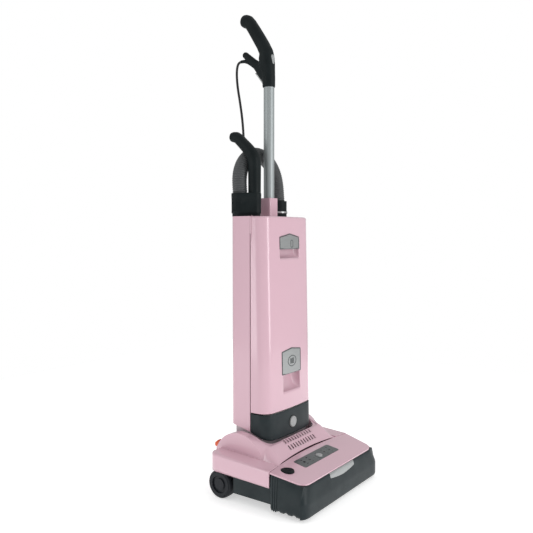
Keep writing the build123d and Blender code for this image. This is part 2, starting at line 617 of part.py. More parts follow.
with BuildPart() as filter_bag:
    block(-36, 100, at(192), at(262), 332, 611)
    block(-36, 94, at(172), at(200), 370, 578)
    fillet(filter_bag.edges().filter_by(Axis.Z).group_by(Axis.Y)[0], radius=9)
    fillet(filter_bag.edges().filter_by(Axis.Z).group_by(Axis.Y)[-1], radius=9)
    block(-32, 96, at(196), at(258), 336, 607, mode=Mode.SUBTRACT)
    block(-32, 90, at(176), at(200), 374, 574, mode=Mode.SUBTRACT)
    rod_z(INLET_X, INLET_Y, 590, 620, 10, mode=Mode.SUBTRACT)
save(filter_bag.part, "filter_bag")

with BuildPart() as bag_inlet:
    rod_z(INLET_X, INLET_Y, 611, BODY_TOP, 17)
    block(48, 101, at(212), at(266), 611.2, 614)
    rod_z(INLET_X, INLET_Y, 600, 700, 14, mode=Mode.SUBTRACT)
save(bag_inlet.part, "bag_inlet")

with BuildPart() as suction_duct:
    rod_z(DUCT_X, DUCT_Y, 104, BODY_TOP, DUCT_R)
    rod_z(DUCT_X, DUCT_Y, 100, 580, 13, mode=Mode.SUBTRACT)
    rod_z(DUCT_X, DUCT_Y, 580, 700, WAND_R + GAP, mode=Mode.SUBTRACT)
save(suction_duct.part, "suction_duct")

# ---------------------------------------------------------------- handle

with BuildPart() as handle_socket:
    block(-18, 18, at(214), at(248), 632, 746)
    fillet(handle_socket.edges().filter_by(Axis.Z), radius=5)
    rod_z(0, TUBE_Y, 640, 760, TUBE_R, mode=Mode.SUBTRACT)
save(handle_socket.part, "handle_socket")

with BuildPart() as handle_tube:
    rod_z(0, TUBE_Y, TUBE_LOW, TUBE_HIGH, TUBE_R)
    rod_z(0, TUBE_Y, TUBE_LOW - 1, TUBE_HIGH + 1, TUBE_R - 1.5, mode=Mode.SUBTRACT)
save(handle_tube.part, "handle_tube")

GRIP_HALF_W = 16.5
with BuildPart() as handle_grip:
    with BuildSketch(Plane.YZ.offset(-GRIP_HALF_W)):
        with BuildLine():
            Polyline((at(249), 1042), (at(215), 1034), (at(216), 1121), (at(222), 1135), (at(276), 1218))
            Spline((at(276), 1218), (at(300), 1235.5), (at(325), 1221), (at(303), 1201),
                   tangents=((0.6, 0.8), (-0.9, 0.1)))
            Polyline((at(303), 1201), (at(289), 1175), (at(273), 1148), (at(260), 1134), (at(261), 1122),
                     (at(275), 1110), (at(296), 1132))
            ThreePointArc((at(296), 1132), (at(311), 1138), (at(316), 1124))
            Polyline((at(316), 1124), (at(305), 1113), (at(287), 1090), (at(249), 1042))
        make_face()
    extrude(amount=2 * GRIP_HALF_W)
    rod_z(0, TUBE_Y, 1000, TUBE_HIGH, TUBE_R, mode=Mode.SUBTRACT)
    # Seat for the power switch, which wraps round the front
    block(-20, 20, at(200), at(219), 1086, 1128, mode=Mode.SUBTRACT)
    for side in (-1, 1):
        block(side * 13, side * 20, at(200), at(232), 1086, 1128, mode=Mode.SUBTRACT)
        # Only the middle of the spur stands out behind the grip
        block(side * 9, side * 20, at(277), at(330), 1095, 1145, mode=Mode.SUBTRACT)
    rod_y(0, at(298), at(310), 1113, 5, mode=Mode.SUBTRACT)
save(handle_grip.part, "handle_grip")

with BuildPart() as power_switch:
    block(-17.5, 17.5, at(214), at(230), 1090, 1116)
    fillet(power_switch.edges().filter_by(Axis.Z).group_by(Axis.Y)[0], radius=4)
    block(-13.3, 13.3, at(218.7), at(240), 1080, 1130, mode=Mode.SUBTRACT)
save(power_switch.part, "power_switch")

with BuildPart() as strain_relief:
    with BuildSketch(Plane.XZ.offset(-at(298))):
        with Locations((0, 1113)):
            Circle(5)
    with BuildSketch(Plane.XZ.offset(-at(323))):
        with Locations((0, 1114)):
            Circle(CORD_D / 2 + 0.8)
    loft()
save(strain_relief.part, "strain_relief")

# ---------------------------------------------------------------- wand and hose

with BuildPart() as hose_collar:
    rod_z(HOSE_RIGHT, HOSE_Y, BODY_TOP, 743, 24)
    rod_z(HOSE_RIGHT, HOSE_Y, 709, 715, 25.5)
    rod_z(HOSE_RIGHT, HOSE_Y, HOSE_LOW - 2, 750, HOSE_R + 1.2, mode=Mode.SUBTRACT)
    rod_z(INLET_X, INLET_Y, 690, 740, 9, mode=Mode.SUBTRACT)
save(hose_collar.part, "hose_collar")


def hose_path():
    """The hose rises from its collar, arches over and drops into the wand's cuff."""
    lean = math.radians(HOSE_LEAN)
    arch = Plane(origin=(0, HOSE_Y, HOSE_LOW), x_dir=(1, 0, 0), z_dir=(0, -math.cos(lean), math.sin(lean)))
    middle = (HOSE_LEFT + HOSE_RIGHT) / 2
    with BuildLine(arch) as path:
        Line((HOSE_RIGHT, 0), (HOSE_RIGHT, HOSE_RISE))
        ThreePointArc((HOSE_RIGHT, HOSE_RISE), (middle, HOSE_RISE + HOSE_BEND), (HOSE_LEFT, HOSE_RISE))
        Line((HOSE_LEFT, HOSE_RISE), (HOSE_LEFT, 6))
    return path.wires()[0]


with BuildPart() as hose:
    hose_line = hose_path()
    with BuildSketch(Plane(origin=hose_line @ 0, z_dir=hose_line % 0)):
        Circle(HOSE_R)
        Circle(HOSE_IN_R, mode=Mode.SUBTRACT)
    sweep(path=hose_line)
save(hose.part, "hose")

WAND_BASE_LOW, WAND_BASE_TOP = 705, 757
with BuildPart() as wand_base:
    with BuildSketch(Plane.XY.offset(WAND_BASE_LOW)):
        with Locations((HOSE_LEFT, HOSE_Y)):
            Circle(23)
        with Locations((DUCT_X, DUCT_Y)):
            Circle(17)
        make_hull()
    extrude(amount=WAND_BASE_TOP - WAND_BASE_LOW)
    # A narrower foot rests just clear of the body's top
    with BuildSketch(Plane.XY.offset(BODY_TOP + 0.6)):
        with Locations((HOSE_LEFT, HOSE_Y)):
            Circle(20)
        with Locations((DUCT_X, DUCT_Y)):
            Circle(16)
        make_hull()
    extrude(amount=WAND_BASE_LOW - BODY_TOP)
    rod_z(HOSE_LEFT, HOSE_Y + 1, 738, 760, HOSE_R + 1.6, mode=Mode.SUBTRACT)
    rod_z(DUCT_X, DUCT_Y, 690, 760, WAND_R, mode=Mode.SUBTRACT)
    for rib in range(5):
        x = HOSE_LEFT - 22 + 3.2 * rib
        rod_z(x, HOSE_Y - 8.5 - 3.0 * rib, WAND_BASE_LOW + 5, WAND_BASE_TOP, 1.2, mode=Mode.SUBTRACT)
save(wand_base.part, "wand_base")

with BuildPart() as wand_tube:
    rod_z(DUCT_X, DUCT_Y, WAND_LOW, WAND_HIGH - 12, WAND_R)
    rod_z(DUCT_X, DUCT_Y, WAND_LOW - 1, WAND_HIGH, WAND_R - 1.6, mode=Mode.SUBTRACT)
save(wand_tube.part, "wand_tube")

WAND_TIP_Y, WAND_TIP_Z, WAND_GRIP_R = at(294), 905, 16
with BuildPart() as wand_grip:
    rod_z(DUCT_X, DUCT_Y, WAND_BASE_TOP, WAND_HIGH, WAND_GRIP_R)
    with Locations((DUCT_X, DUCT_Y, WAND_HIGH)):
        Sphere(WAND_GRIP_R)
    with BuildSketch(Plane(origin=(DUCT_X, DUCT_Y, WAND_HIGH),
                           z_dir=(0, WAND_TIP_Y - DUCT_Y, WAND_TIP_Z - WAND_HIGH))):
        Circle(15)
    extrude(amount=math.hypot(WAND_TIP_Y - DUCT_Y, WAND_TIP_Z - WAND_HIGH), taper=1.5)
    with Locations((DUCT_X, WAND_TIP_Y, WAND_TIP_Z)):
        Sphere(14.5)
    rod_z(DUCT_X, DUCT_Y, WAND_BASE_TOP - 1, WAND_HIGH - 12, WAND_R, mode=Mode.SUBTRACT)
save(wand_grip.part, "wand_grip")

# ---------------------------------------------------------------- cord

COIL_HALF_W = COIL_SLICES * CORD_D / 2
COIL_IN_R = COIL_MEAN_R - COIL_LAYERS * CORD_D / 2
COIL_OUT_R = COIL_MEAN_R + COIL_LAYERS * CORD_D / 2
HOOK_R = 6.5
HOOK_Z = COIL_Z + COIL_IN_R - HOOK_R - GAP
with BuildPart() as cord_hook:
    rod_y(COIL_X, CASING_REAR, at(321), HOOK_Z, HOOK_R)
    block(COIL_X - 16, COIL_X + 16, CASING_REAR, CASING_REAR + 3, HOOK_Z - 24, HOOK_Z + 24)
    block(COIL_X - 7, COIL_X + 7, at(317), at(323), HOOK_Z - HOOK_R, HOOK_Z + 24)
save(cord_hook.part, "cord_hook")

with BuildPart() as cord_coil:
    rod_y(COIL_X, COIL_Y - COIL_HALF_W, COIL_Y + COIL_HALF_W, COIL_Z, COIL_OUT_R)
    rod_y(COIL_X, COIL_Y - COIL_HALF_W, COIL_Y + COIL_HALF_W, COIL_Z, COIL_IN_R, mode=Mode.SUBTRACT)
save(cord_coil.part, "cord_coil")

STRAP = 1.6
with BuildPart() as cord_tie:
    block(COIL_X - 8, COIL_X + 8, COIL_Y - COIL_HALF_W - STRAP, COIL_Y + COIL_HALF_W + STRAP,
          COIL_Z - COIL_OUT_R - STRAP, COIL_Z - COIL_IN_R + STRAP + 1)
    block(COIL_X - 9, COIL_X + 9, COIL_Y - COIL_HALF_W, COIL_Y + COIL_HALF_W,
          COIL_Z - COIL_OUT_R, COIL_Z - COIL_IN_R + 1, mode=Mode.SUBTRACT)
save(cord_tie.part, "cord_tie")

# The cord leaves the strain relief, bends down behind the handle and hangs to the coil.
TURN_R = COIL_OUT_R - CORD_D / 2
CORD_ROUTE = [
    (0, at(323), 1114),
    (0, at(330.5), 1113),
    (0, at(336), 1105),
    (0, at(338.5), 1090),
    (0, at(338), 1070),
    (0, at(334.5), 1042),
    (0, at(327.5), 1008),
    (0, at(320.5), 968),
    (0.5, at(316), 922),
    (0, at(314), 872),
    (-2.5, at(313), 815),
    (-8, at(312.5), 755),
    (-15, at(312.5), 695),
    (-24, at(312.7), 640),
    (-33, at(313), 592),
    (COIL_X - TURN_R, at(313), COIL_Z),
]
PLUG_X = COIL_X - TURN_R
PLUG_ROUTE = [
    (PLUG_X, at(281), COIL_Z),
    (PLUG_X - 0.8, at(283), COIL_Z - 21),
    (PLUG_X - 0.3, at(289), COIL_Z - 42),
    (PLUG_X, PLUG_Y, PLUG_Z + 20),
]


def corner_radii(route):
    """The largest arc at each corner that its two runs allow."""
    radii = []
    for a, b, c in zip(route, route[1:], route[2:]):
        run_in, run_out = Vector(*b) - Vector(*a), Vector(*c) - Vector(*b)
        half_turn = math.radians(run_in.get_angle(run_out)) / 2
        radii.append(0.45 * min(run_in.length, run_out.length) / math.tan(half_turn))
    return radii


cord_length = 0
with BuildPart() as mains_cord:
    for route in (CORD_ROUTE, PLUG_ROUTE):
        radii = corner_radii(route)
        print("cord bend radii", [round(radius) for radius in radii])
        with BuildLine() as cord_path:
            FilletPolyline(*route, radius=radii)
        cord_line = cord_path.wires()[0]
        with BuildSketch(Plane(origin=route[0], z_dir=cord_line % 0)) as cord_section:
            Circle(CORD_D / 2)
        sweep(cord_section.sketch, path=cord_line)
        cord_length += cord_line.length
cord_section_area = math.pi * CORD_D ** 2 / 4
print("cord volume over section times length", mains_cord.part.volume / (cord_section_area * cord_length))
print("whole cord", cord_length + COIL_SLICES * COIL_LAYERS * 2 * math.pi * COIL_MEAN_R)
save(mains_cord.part, "mains_cord")

with BuildPart() as mains_plug:
    rod_z(PLUG_X, PLUG_Y, PLUG_Z - 34, PLUG_Z, 16)
    fillet(mains_plug.edges().group_by(Axis.Z)[-1], radius=6)
    with Locations((PLUG_X, PLUG_Y, PLUG_Z + 10)):
        Cone(6.5, 4.2, 20)
    for x in (-9.5, 9.5):
        rod_z(PLUG_X + x, PLUG_Y, PLUG_Z - 53, PLUG_Z - 34, 2.4)
save(mains_plug.part, "mains_plug")
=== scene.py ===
import json
import random
from math import copysign, cos, hypot, pi, radians, sin, sqrt, tan

import bmesh
import bpy
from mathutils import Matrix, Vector


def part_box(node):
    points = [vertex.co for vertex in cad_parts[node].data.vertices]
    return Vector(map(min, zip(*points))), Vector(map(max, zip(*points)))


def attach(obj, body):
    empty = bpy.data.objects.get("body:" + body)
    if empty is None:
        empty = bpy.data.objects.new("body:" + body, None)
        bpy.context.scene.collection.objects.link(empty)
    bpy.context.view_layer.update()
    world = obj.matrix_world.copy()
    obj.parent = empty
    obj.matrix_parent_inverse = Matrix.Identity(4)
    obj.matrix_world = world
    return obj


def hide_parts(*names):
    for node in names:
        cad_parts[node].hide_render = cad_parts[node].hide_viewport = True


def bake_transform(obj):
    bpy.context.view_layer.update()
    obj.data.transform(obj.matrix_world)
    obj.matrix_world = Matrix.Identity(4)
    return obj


# Looks for the upright vacuum cleaner. Lengths are millimetres in the machine's own directions:
# x across, depth back from the power head's front face, z up. p() turns them into metres.

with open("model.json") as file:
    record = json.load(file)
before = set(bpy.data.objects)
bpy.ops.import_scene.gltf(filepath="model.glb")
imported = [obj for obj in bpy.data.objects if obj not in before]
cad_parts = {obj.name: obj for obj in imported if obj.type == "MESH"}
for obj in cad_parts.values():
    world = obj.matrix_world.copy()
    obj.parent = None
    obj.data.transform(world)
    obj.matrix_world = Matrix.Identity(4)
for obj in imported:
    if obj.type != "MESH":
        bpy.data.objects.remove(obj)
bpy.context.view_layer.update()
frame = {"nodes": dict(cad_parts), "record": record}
record = frame["record"]
ACROSS, BACK, UP = Vector((1, 0, 0)), Vector((0, 1, 0)), Vector((0, 0, 1))
HEAD_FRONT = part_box("front_bumper")[0].y
HEAD_HALF_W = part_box("hood")[1].x * 1000
BODY_HALF_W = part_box("front_cover")[1].x * 1000


def p(x, depth, z):
    """A point of the machine, in metres."""
    return Vector((x / 1000, HEAD_FRONT + depth / 1000, z / 1000))


def depth_of(metres):
    return (metres - HEAD_FRONT) * 1000


def new_object(name, data):
    made = bpy.data.objects.new(name, data)
    bpy.context.scene.collection.objects.link(made)
    return made


# ---- camera

CAMERA_AT = (-1358.5, -751.6, 650)
CAMERA_HEADING, CAMERA_PITCH = radians(36.1), radians(2.84)
camera_data = bpy.data.cameras.new("camera")
camera_data.lens = 42.9
camera = new_object("camera", camera_data)
camera.location = p(*CAMERA_AT)
look = Vector((cos(CAMERA_HEADING), sin(CAMERA_HEADING), -tan(CAMERA_PITCH)))
camera.rotation_euler = look.to_track_quat("-Z", "Y").to_euler()
bpy.context.scene.camera = camera

# ---- materials


def plug_in(tree, node, sockets):
    """Give a node's sockets a value or another node's output."""
    for socket, value in sockets.items():
        if isinstance(value, bpy.types.NodeSocket):
            tree.links.new(value, node.inputs[socket])
        else:
            node.inputs[socket].default_value = value
    return node


def add_node(tree, kind, sockets=None, **settings):
    node = tree.nodes.new("ShaderNode" + kind)
    for name, value in settings.items():
        setattr(node, name, value)
    return plug_in(tree, node, sockets or {})


class Paint:
    """A node-based material built on one Principled shader."""

    def __init__(self, name, colour, roughness, metallic=0.0, coat=0.0, specular=0.5):
        self.name = name
        self.mat = bpy.data.materials.new(name)
        self.mat.use_nodes = True
        self.tree = self.mat.node_tree
        self.colour = colour
        self.normal = None
        self.place = self.add("TexCoord").outputs["Object"]
        self.wire({"Base Color": (*colour, 1), "Roughness": roughness, "Metallic": metallic,
                   "Coat Weight": coat, "Coat Roughness": 0.1, "Specular IOR Level": specular})

    def add(self, kind, sockets=None, **settings):
        return add_node(self.tree, kind, sockets, **settings)

    def wire(self, sockets):
        """Set the Principled shader's own sockets."""
        plug_in(self.tree, self.tree.nodes["Principled BSDF"], sockets)
        return self

    def noise(self, scale, detail=3.0, stretch=(1, 1, 1)):
        """Noise in the machine's own coordinates, with scale in features per metre."""
        spread = self.add("Mapping", {"Vector": self.place, "Scale": stretch}).outputs["Vector"]
        return self.add("TexNoise", {"Vector": spread, "Scale": scale, "Detail": detail}).outputs["Fac"]

    def ranged(self, source, low, high, start=0.3, end=0.7):
        """The source mapped to a span of values."""
        return self.add("MapRange", {"Value": source, "From Min": start, "From Max": end,
                                     "To Min": low, "To Max": high}).outputs["Result"]

    def blend(self, base, other, share):
        """Mix two colours into the base colour."""
        mix = self.add("Mix", {"A": base, "B": (*other, 1), "Factor": share}, data_type="RGBA")
        self.tint = mix.outputs["Result"]
        return self.wire({"Base Color": self.tint})

    def mottle(self, scale, other, stretch=(1, 1, 1)):
        """Slow colour variation between the base colour and another."""
        return self.blend((*self.colour, 1), other, self.ranged(self.noise(scale, 4, stretch), 0, 1))

    def edge_wear(self, worn, share):
        """Lighter, duller edges where hands and furniture rub."""
        blurred = self.add("Bevel", {"Radius": 0.0012}, samples=4).outputs["Normal"]
        flat = self.add("NewGeometry").outputs["Normal"]
        match = self.add("VectorMath", {0: blurred, 1: flat}, operation="DOT_PRODUCT").outputs["Value"]
        return self.blend(self.tint, worn, self.ranged(match, share, 0, 0.8, 0.97))

    def sheen_spread(self, scale, low, high, stretch=(1, 1, 1)):
        """Roughness that varies slowly, as on handled plastic."""
        return self.wire({"Roughness": self.ranged(self.noise(scale, 5, stretch), low, high)})

    def relief(self, height, strength, distance):
        """Bumps on top of those that the material already has."""
        under = {"Normal": self.normal} if self.normal else {}
        bump = self.add("Bump", {"Strength": strength, "Distance": distance, "Height": height, **under})
        self.normal = bump.outputs["Normal"]
        return self.wire({"Normal": self.normal})

    def grain(self, scale, strength, distance=0.0002, stretch=(1, 1, 1)):
        """Fine moulded or brushed relief."""
        return self.relief(self.noise(scale, 2.0, stretch), strength, distance)

    def weave(self, pitch, strength, distance=0.0003):
        """Crossed ribs of a woven strap or fleece."""
        for axis in ("X", "Z"):
            wave = self.add("TexWave", {"Scale": 0.314 / (pitch / 1000), "Distortion": 0.6,
                                        "Vector": self.place}, bands_direction=axis)
            self.relief(wave.outputs["Fac"], strength, distance)
        return self


def pink_paint():
    """Glossy moulded shell."""
    paint = Paint("pink_shell", (0.735, 0.478, 0.558), 0.26, coat=0.7)
    return paint.mottle(3, (0.728, 0.472, 0.552)).edge_wear((0.78, 0.56, 0.63), 0.35) \
        .sheen_spread(5, 0.25, 0.265).grain(420, 0.04, 0.0001)


def dark_paint():
    """Fine-textured moulded housing."""
    paint = Paint("dark_plastic", (0.015, 0.023, 0.026), 0.34, specular=0.2)
    return paint.mottle(25, (0.026, 0.036, 0.039)).edge_wear((0.06, 0.072, 0.076), 0.5) \
        .sheen_spread(30, 0.3, 0.4).grain(1900, 0.2, 0.0002)


def grip_paint():
    """Soft-touch black grip."""
    paint = Paint("grip_black", (0.006, 0.01, 0.011), 0.45, specular=0.16)
    return paint.mottle(40, (0.01, 0.015, 0.016)).edge_wear((0.03, 0.038, 0.04), 0.4) \
        .sheen_spread(45, 0.42, 0.58).grain(2600, 0.4, 0.0002)


def silver_paint():
    """Satin silver trim with a faint brushed grain."""
    paint = Paint("silver_trim", (0.45, 0.465, 0.465), 0.34, metallic=0.75)
    return paint.mottle(60, (0.41, 0.425, 0.425), (1, 6, 6)).edge_wear((0.6, 0.61, 0.61), 0.7) \
        .sheen_spread(120, 0.28, 0.42, (1, 10, 10)).grain(900, 0.12, 0.0001, (0.15, 6, 6))


def tube_paint():
    """Satin anodised tube, drawn along its length."""
    paint = Paint("tube_alu", (0.40, 0.435, 0.44), 0.46, metallic=0.55)
    return paint.mottle(40, (0.385, 0.42, 0.425), (6, 6, 0.2)).edge_wear((0.5, 0.53, 0.53), 0.4) \
        .sheen_spread(60, 0.42, 0.5, (6, 6, 0.3)).grain(900, 0.06, 0.0001, (6, 6, 0.15))


def plain_paint(name, colour, roughness, metallic=0.0, coat=0.0, pitch=1400, relief=0.2, specular=0.5):
    """A moulded or turned material whose colour, gloss and grain all vary a little."""
    darker = tuple(0.82 * c for c in colour)
    worn = tuple(min(1, 1.3 * c + 0.03) for c in colour)
    paint = Paint(name, colour, roughness, metallic, coat, specular)
    return paint.mottle(35, darker).edge_wear(worn, 0.5) \
        .sheen_spread(50, 0.85 * roughness, 1.15 * roughness).grain(pitch, relief, 0.0002)


paints = {paint.name: paint for paint in (
    pink_paint(),
    dark_paint(),
    grip_paint(),
    silver_paint(),
    tube_paint(),
    plain_paint("grey_plastic", (0.42, 0.44, 0.44), 0.35, coat=0.2),
    plain_paint("display", (0.075, 0.09, 0.092), 0.3, coat=0.3, relief=0.08),
    plain_paint("lens", (0.012, 0.013, 0.014), 0.15, coat=0.6, relief=0.03),
    plain_paint("tyre", (0.011, 0.014, 0.018), 0.6, relief=0.4, specular=0.25),
    plain_paint("wheel_dark", (0.013, 0.016, 0.021), 0.42, specular=0.25),
    plain_paint("neck_grey", (0.62, 0.53, 0.57), 0.4),
    plain_paint("pedal_orange", (0.8, 0.1, 0.012), 0.35, coat=0.2),
    plain_paint("steel", (0.5, 0.5, 0.5), 0.3, metallic=1.0, pitch=900, relief=0.12),
    plain_paint("inner_grey", (0.28, 0.29, 0.3), 0.5),
    plain_paint("bristle", (0.035, 0.035, 0.038), 0.55, pitch=3000, relief=0.4),
    plain_paint("belt_rubber", (0.018, 0.018, 0.018), 0.7, relief=0.4),
    plain_paint("filter_white", (0.72, 0.72, 0.69), 0.85, pitch=700, relief=0.6).weave(1.4, 0.25),
    plain_paint("hose_grey", (0.075, 0.08, 0.083), 0.42, pitch=1600, relief=0.25),
    plain_paint("cord_black", (0.01, 0.011, 0.012), 0.48, pitch=2200, relief=0.25),
    plain_paint("tie_strap", (0.02, 0.02, 0.022), 0.8, relief=0.3).weave(0.9, 0.6),
)}


# ---- mesh helpers

def link_piece(name, data, slot, body, replaces=()):
    """A new piece with its material, riding on its body."""
    piece = new_object(name, data)
    data.materials.append(paints[slot].mat)
    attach(piece, body)
    if replaces:
        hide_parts(*replaces)
    return piece


def to_mesh(name, bm):
    mesh = bpy.data.meshes.new(name)
    bm.to_mesh(mesh)
    bm.free()
    return mesh


def finish_mesh(name, bm, slot, body, replaces=(), sharp=35):
    """Turns a bmesh into a piece whose edges sharper than the angle stay crisp."""
    bmesh.ops.remove_doubles(bm, verts=bm.verts, dist=2e-6)
    bmesh.ops.recalc_face_normals(bm, faces=bm.faces)
    mesh = to_mesh(name, bm)
    mesh.shade_smooth()
    mesh.set_sharp_from_angle(angle=radians(sharp))
    return link_piece(name, mesh, slot, body, replaces)


def quads(bm, rows, closed=False):
    """Faces between rows of points. Closed rows end where they start."""
    grid = [[bm.verts.new(point) for point in row] for row in rows]
    for row, following in zip(grid, grid[1:]):
        columns = len(row)
        for i in range(columns if closed else columns - 1):
            j = (i + 1) % columns
            bm.faces.new((row[i], row[j], following[j], following[i]))
    return grid


def loft(bm, rows):
    """A closed form through rings of points."""
    grid = quads(bm, rows, closed=True)
    bm.faces.new(grid[0])
    bm.faces.new(grid[-1])


def ring(centre, across, up, half_across, half_up, count=32, power=2.0):
    """A superellipse of points about a centre."""
    points = []
    for i in range(count):
        angle = 2 * pi * i / count
        c, s = cos(angle), sin(angle)
        a = copysign(abs(c) ** (2 / power), c) * half_across
        b = copysign(abs(s) ** (2 / power), s) * half_up
        points.append(centre + across * a + up * b)
    return points


def lathe_rings(centre, axis, profile, count):
    """Circles about an axis, from (distance along, radius) pairs in millimetres."""
    across = axis.orthogonal().normalized()
    up = axis.cross(across)
    return [ring(centre + axis * (along / 1000), across, up, radius / 1000, radius / 1000, count)
            for along, radius in profile]


def turned(bm, centre, axis, profile, count=64):
    """A solid lathe form about a unit axis."""
    loft(bm, lathe_rings(centre, axis, profile, count))


def hoop(bm, centre, axis, profile, count=64):
    """A ring turned about a unit axis from a closed loop of pairs."""
    rows = lathe_rings(centre, axis, profile, count)
    quads(bm, rows + rows[:1], closed=True)


def solid_box(bm, low, high):
    """A box between two corners in metres."""
    middle, span = (low + high) / 2, high - low
    for vert in bmesh.ops.create_cube(bm, size=1)["verts"]:
        vert.co = middle + Vector(a * b for a, b in zip(vert.co, span))


def oval(x, y, half_w, half_h, count=48):
    """A flat outline's points."""
    turns = [2 * pi * i / count for i in range(count)]
    return [(x + half_w * cos(turn), y + half_h * sin(turn)) for turn in turns]


def bend(start, corner, end, steps):
    """A smooth turn from one flat point to another, drawn towards a corner."""
    start, corner, end = Vector(start), Vector(corner), Vector(end)
    shares = [i / steps for i in range(steps + 1)]
    return [tuple(start * (1 - t) ** 2 + corner * 2 * t * (1 - t) + end * t ** 2) for t in shares]


def mirrored(right):
    """A line from its right half, which starts on the middle plane."""
    return [(-x, depth) for x, depth in reversed(right)] + right[1:]


def soften(piece, width, segments=3, angle=32):
    """Rounded edges, as moulded parts have."""
    bevel = piece.modifiers.new("rounded_edges", "BEVEL")
    bevel.width = width / 1000
    bevel.segments = segments
    bevel.limit_method = "ANGLE"
    bevel.angle_limit = radians(angle)
    bevel.harden_normals = False
    bevel.miter_outer = "MITER_ARC"
    evened = piece.modifiers.new("evened_shading", "WEIGHTED_NORMAL")
    evened.keep_sharp = True
    evened.weight = 80
    return piece


def shell(piece, thickness, offset=-1):
    """A wall on the inner side of a surface, or on both sides with no offset."""
    wall = piece.modifiers.new("wall", "SOLIDIFY")
    wall.thickness = thickness / 1000
    wall.offset = offset
    return piece


def sheet(name, rows, slot, body, replaces=(), sharp=35, wall=2.0, closed=False):
    """A walled piece from rows of points."""
    bm = bmesh.new()
    quads(bm, rows, closed)
    return shell(finish_mesh(name, bm, slot, body, replaces, sharp), wall)


def along_line(points):
    """Unit directions along a line of points."""
    last = len(points) - 1
    return [(points[min(i + 1, last)] - points[max(i - 1, 0)]).normalized() for i in range(last + 1)]


def spline_points(curve):
    """The smooth line of a curve without thickness, as points close together."""
    bare = new_object("bare_line", curve)
    mesh = bpy.data.meshes.new_from_object(bare.evaluated_get(bpy.context.evaluated_depsgraph_get()))
    points = [v.co.copy() for v in mesh.vertices]
    bpy.data.objects.remove(bare)
    bpy.data.meshes.remove(mesh)
    return points


def nurbs(name, points, bevel_mm=0.0, resolution=6):
    """One open NURBS spline through a route's points."""
    data = bpy.data.curves.new(name, "CURVE")
    data.dimensions = "3D"
    data.resolution_u = resolution
    data.bevel_depth = bevel_mm / 1000
    data.bevel_resolution = 4
    data.use_fill_caps = True
    spline = data.splines.new("NURBS")
    spline.points.add(len(points) - 1)
    for target, point in zip(spline.points, points):
        target.co = (*point, 1)
    spline.order_u = 3
    spline.use_endpoint_u = True
    return data


# ---- mains cord

CORD_D = 6.4
COIL_X, COIL_Y, COIL_Z, COIL_MEAN_R = 30, 297, 545, 9 * CORD_D
COIL_SLICES, COIL_LAYERS, TURN_POINTS = 6, 4, 24
TURN_R = COIL_MEAN_R + (COIL_LAYERS - 1) * CORD_D / 2
PLUG_DEPTH, PLUG_Z = 291.5, 462
CORD_ROUTE = [
    (0, 323, 1114),
    (0, 330.5, 1113),
    (0, 336, 1105),
    (0, 338.5, 1090),
    (0, 338, 1070),
    (0, 334.5, 1042),
    (0, 327.5, 1008),
    (0, 320.5, 968),
    (0.5, 316, 922),
    (0, 314, 872),
    (-2.5, 313, 815),
    (-8, 312.5, 755),
    (-15, 312.5, 695),
    (-24, 312.7, 640),
    (-33, 313, 592),
]
PLUG_ROUTE = [
    (COIL_X - TURN_R - 0.8, 283, COIL_Z - 21),
    (COIL_X - TURN_R - 0.3, 289, COIL_Z - 42),
    (COIL_X - TURN_R, PLUG_DEPTH, PLUG_Z + 20),
]


def coil_turns():
    """The put-away cord: six slices of four turns, wound so that each turn makes way for the next."""
    points = []
    shrink = (1 + cos(pi / TURN_POINTS)) / 2
    windows = 2 * COIL_SLICES
    places = []
    for cut in range(COIL_SLICES):
        layers = range(COIL_LAYERS) if cut % 2 == 0 else reversed(range(COIL_LAYERS))
        for layer in layers:
            depth = COIL_Y + ((COIL_SLICES - 1) / 2 - cut) * CORD_D
            places.append((cut, depth, TURN_R - layer * CORD_D))
    for turn, (cut, depth, radius) in enumerate(places):
        following = places[min(turn + 1, len(places) - 1)]
        sideways = following[0] != cut
        window = 2 * (COIL_SLICES - 1 - cut) - (1 if sideways else 0)
        for step in range(TURN_POINTS):
            share = step / TURN_POINTS
            move = min(1, max(0, share * windows - window - 0.5))
            move = move * move * (3 - 2 * move)
            r = (radius + (following[2] - radius) * move) / shrink
            angle = pi + 2 * pi * share
            points.append((COIL_X + r * cos(angle), depth + (following[1] - depth) * move,
                           COIL_Z + r * sin(angle)))
    points.append((COIL_X - TURN_R, places[-1][1], COIL_Z))
    return points


cord_points = [p(*point) for point in CORD_ROUTE + coil_turns() + PLUG_ROUTE]
mains_cord = link_piece("mains_lead", nurbs("mains_lead", cord_points, CORD_D / 2, 3), "cord_black",
                        "upper_body", ["mains_cord", "cord_coil"])

plug_bm = bmesh.new()
plug_x = COIL_X - TURN_R
turned(plug_bm, p(plug_x, PLUG_DEPTH, PLUG_Z + 20), -UP,
       [(0, 4.3), (2, 5.2), (5, 5.2), (5.5, 4.6), (7.5, 4.7), (8, 5.8), (11, 5.9), (11.5, 5.1), (13.5, 5.3),
        (14, 6.6), (18, 6.8), (20, 9.5), (22.5, 13.2), (26, 14.8), (34, 15.4), (36, 14.6), (46, 14.6),
        (48, 15.6), (53, 15.9), (54, 15.2)])
for side in (-1, 1):
    turned(plug_bm, p(plug_x + 9.5 * side, PLUG_DEPTH, PLUG_Z - 33), -UP,
           [(0, 2.3), (9, 2.3), (9.2, 2.35), (18.5, 2.35), (20, 1.5)], 24)
plug = finish_mesh("plug_body", plug_bm, "cord_black", "upper_body", ["mains_plug"])

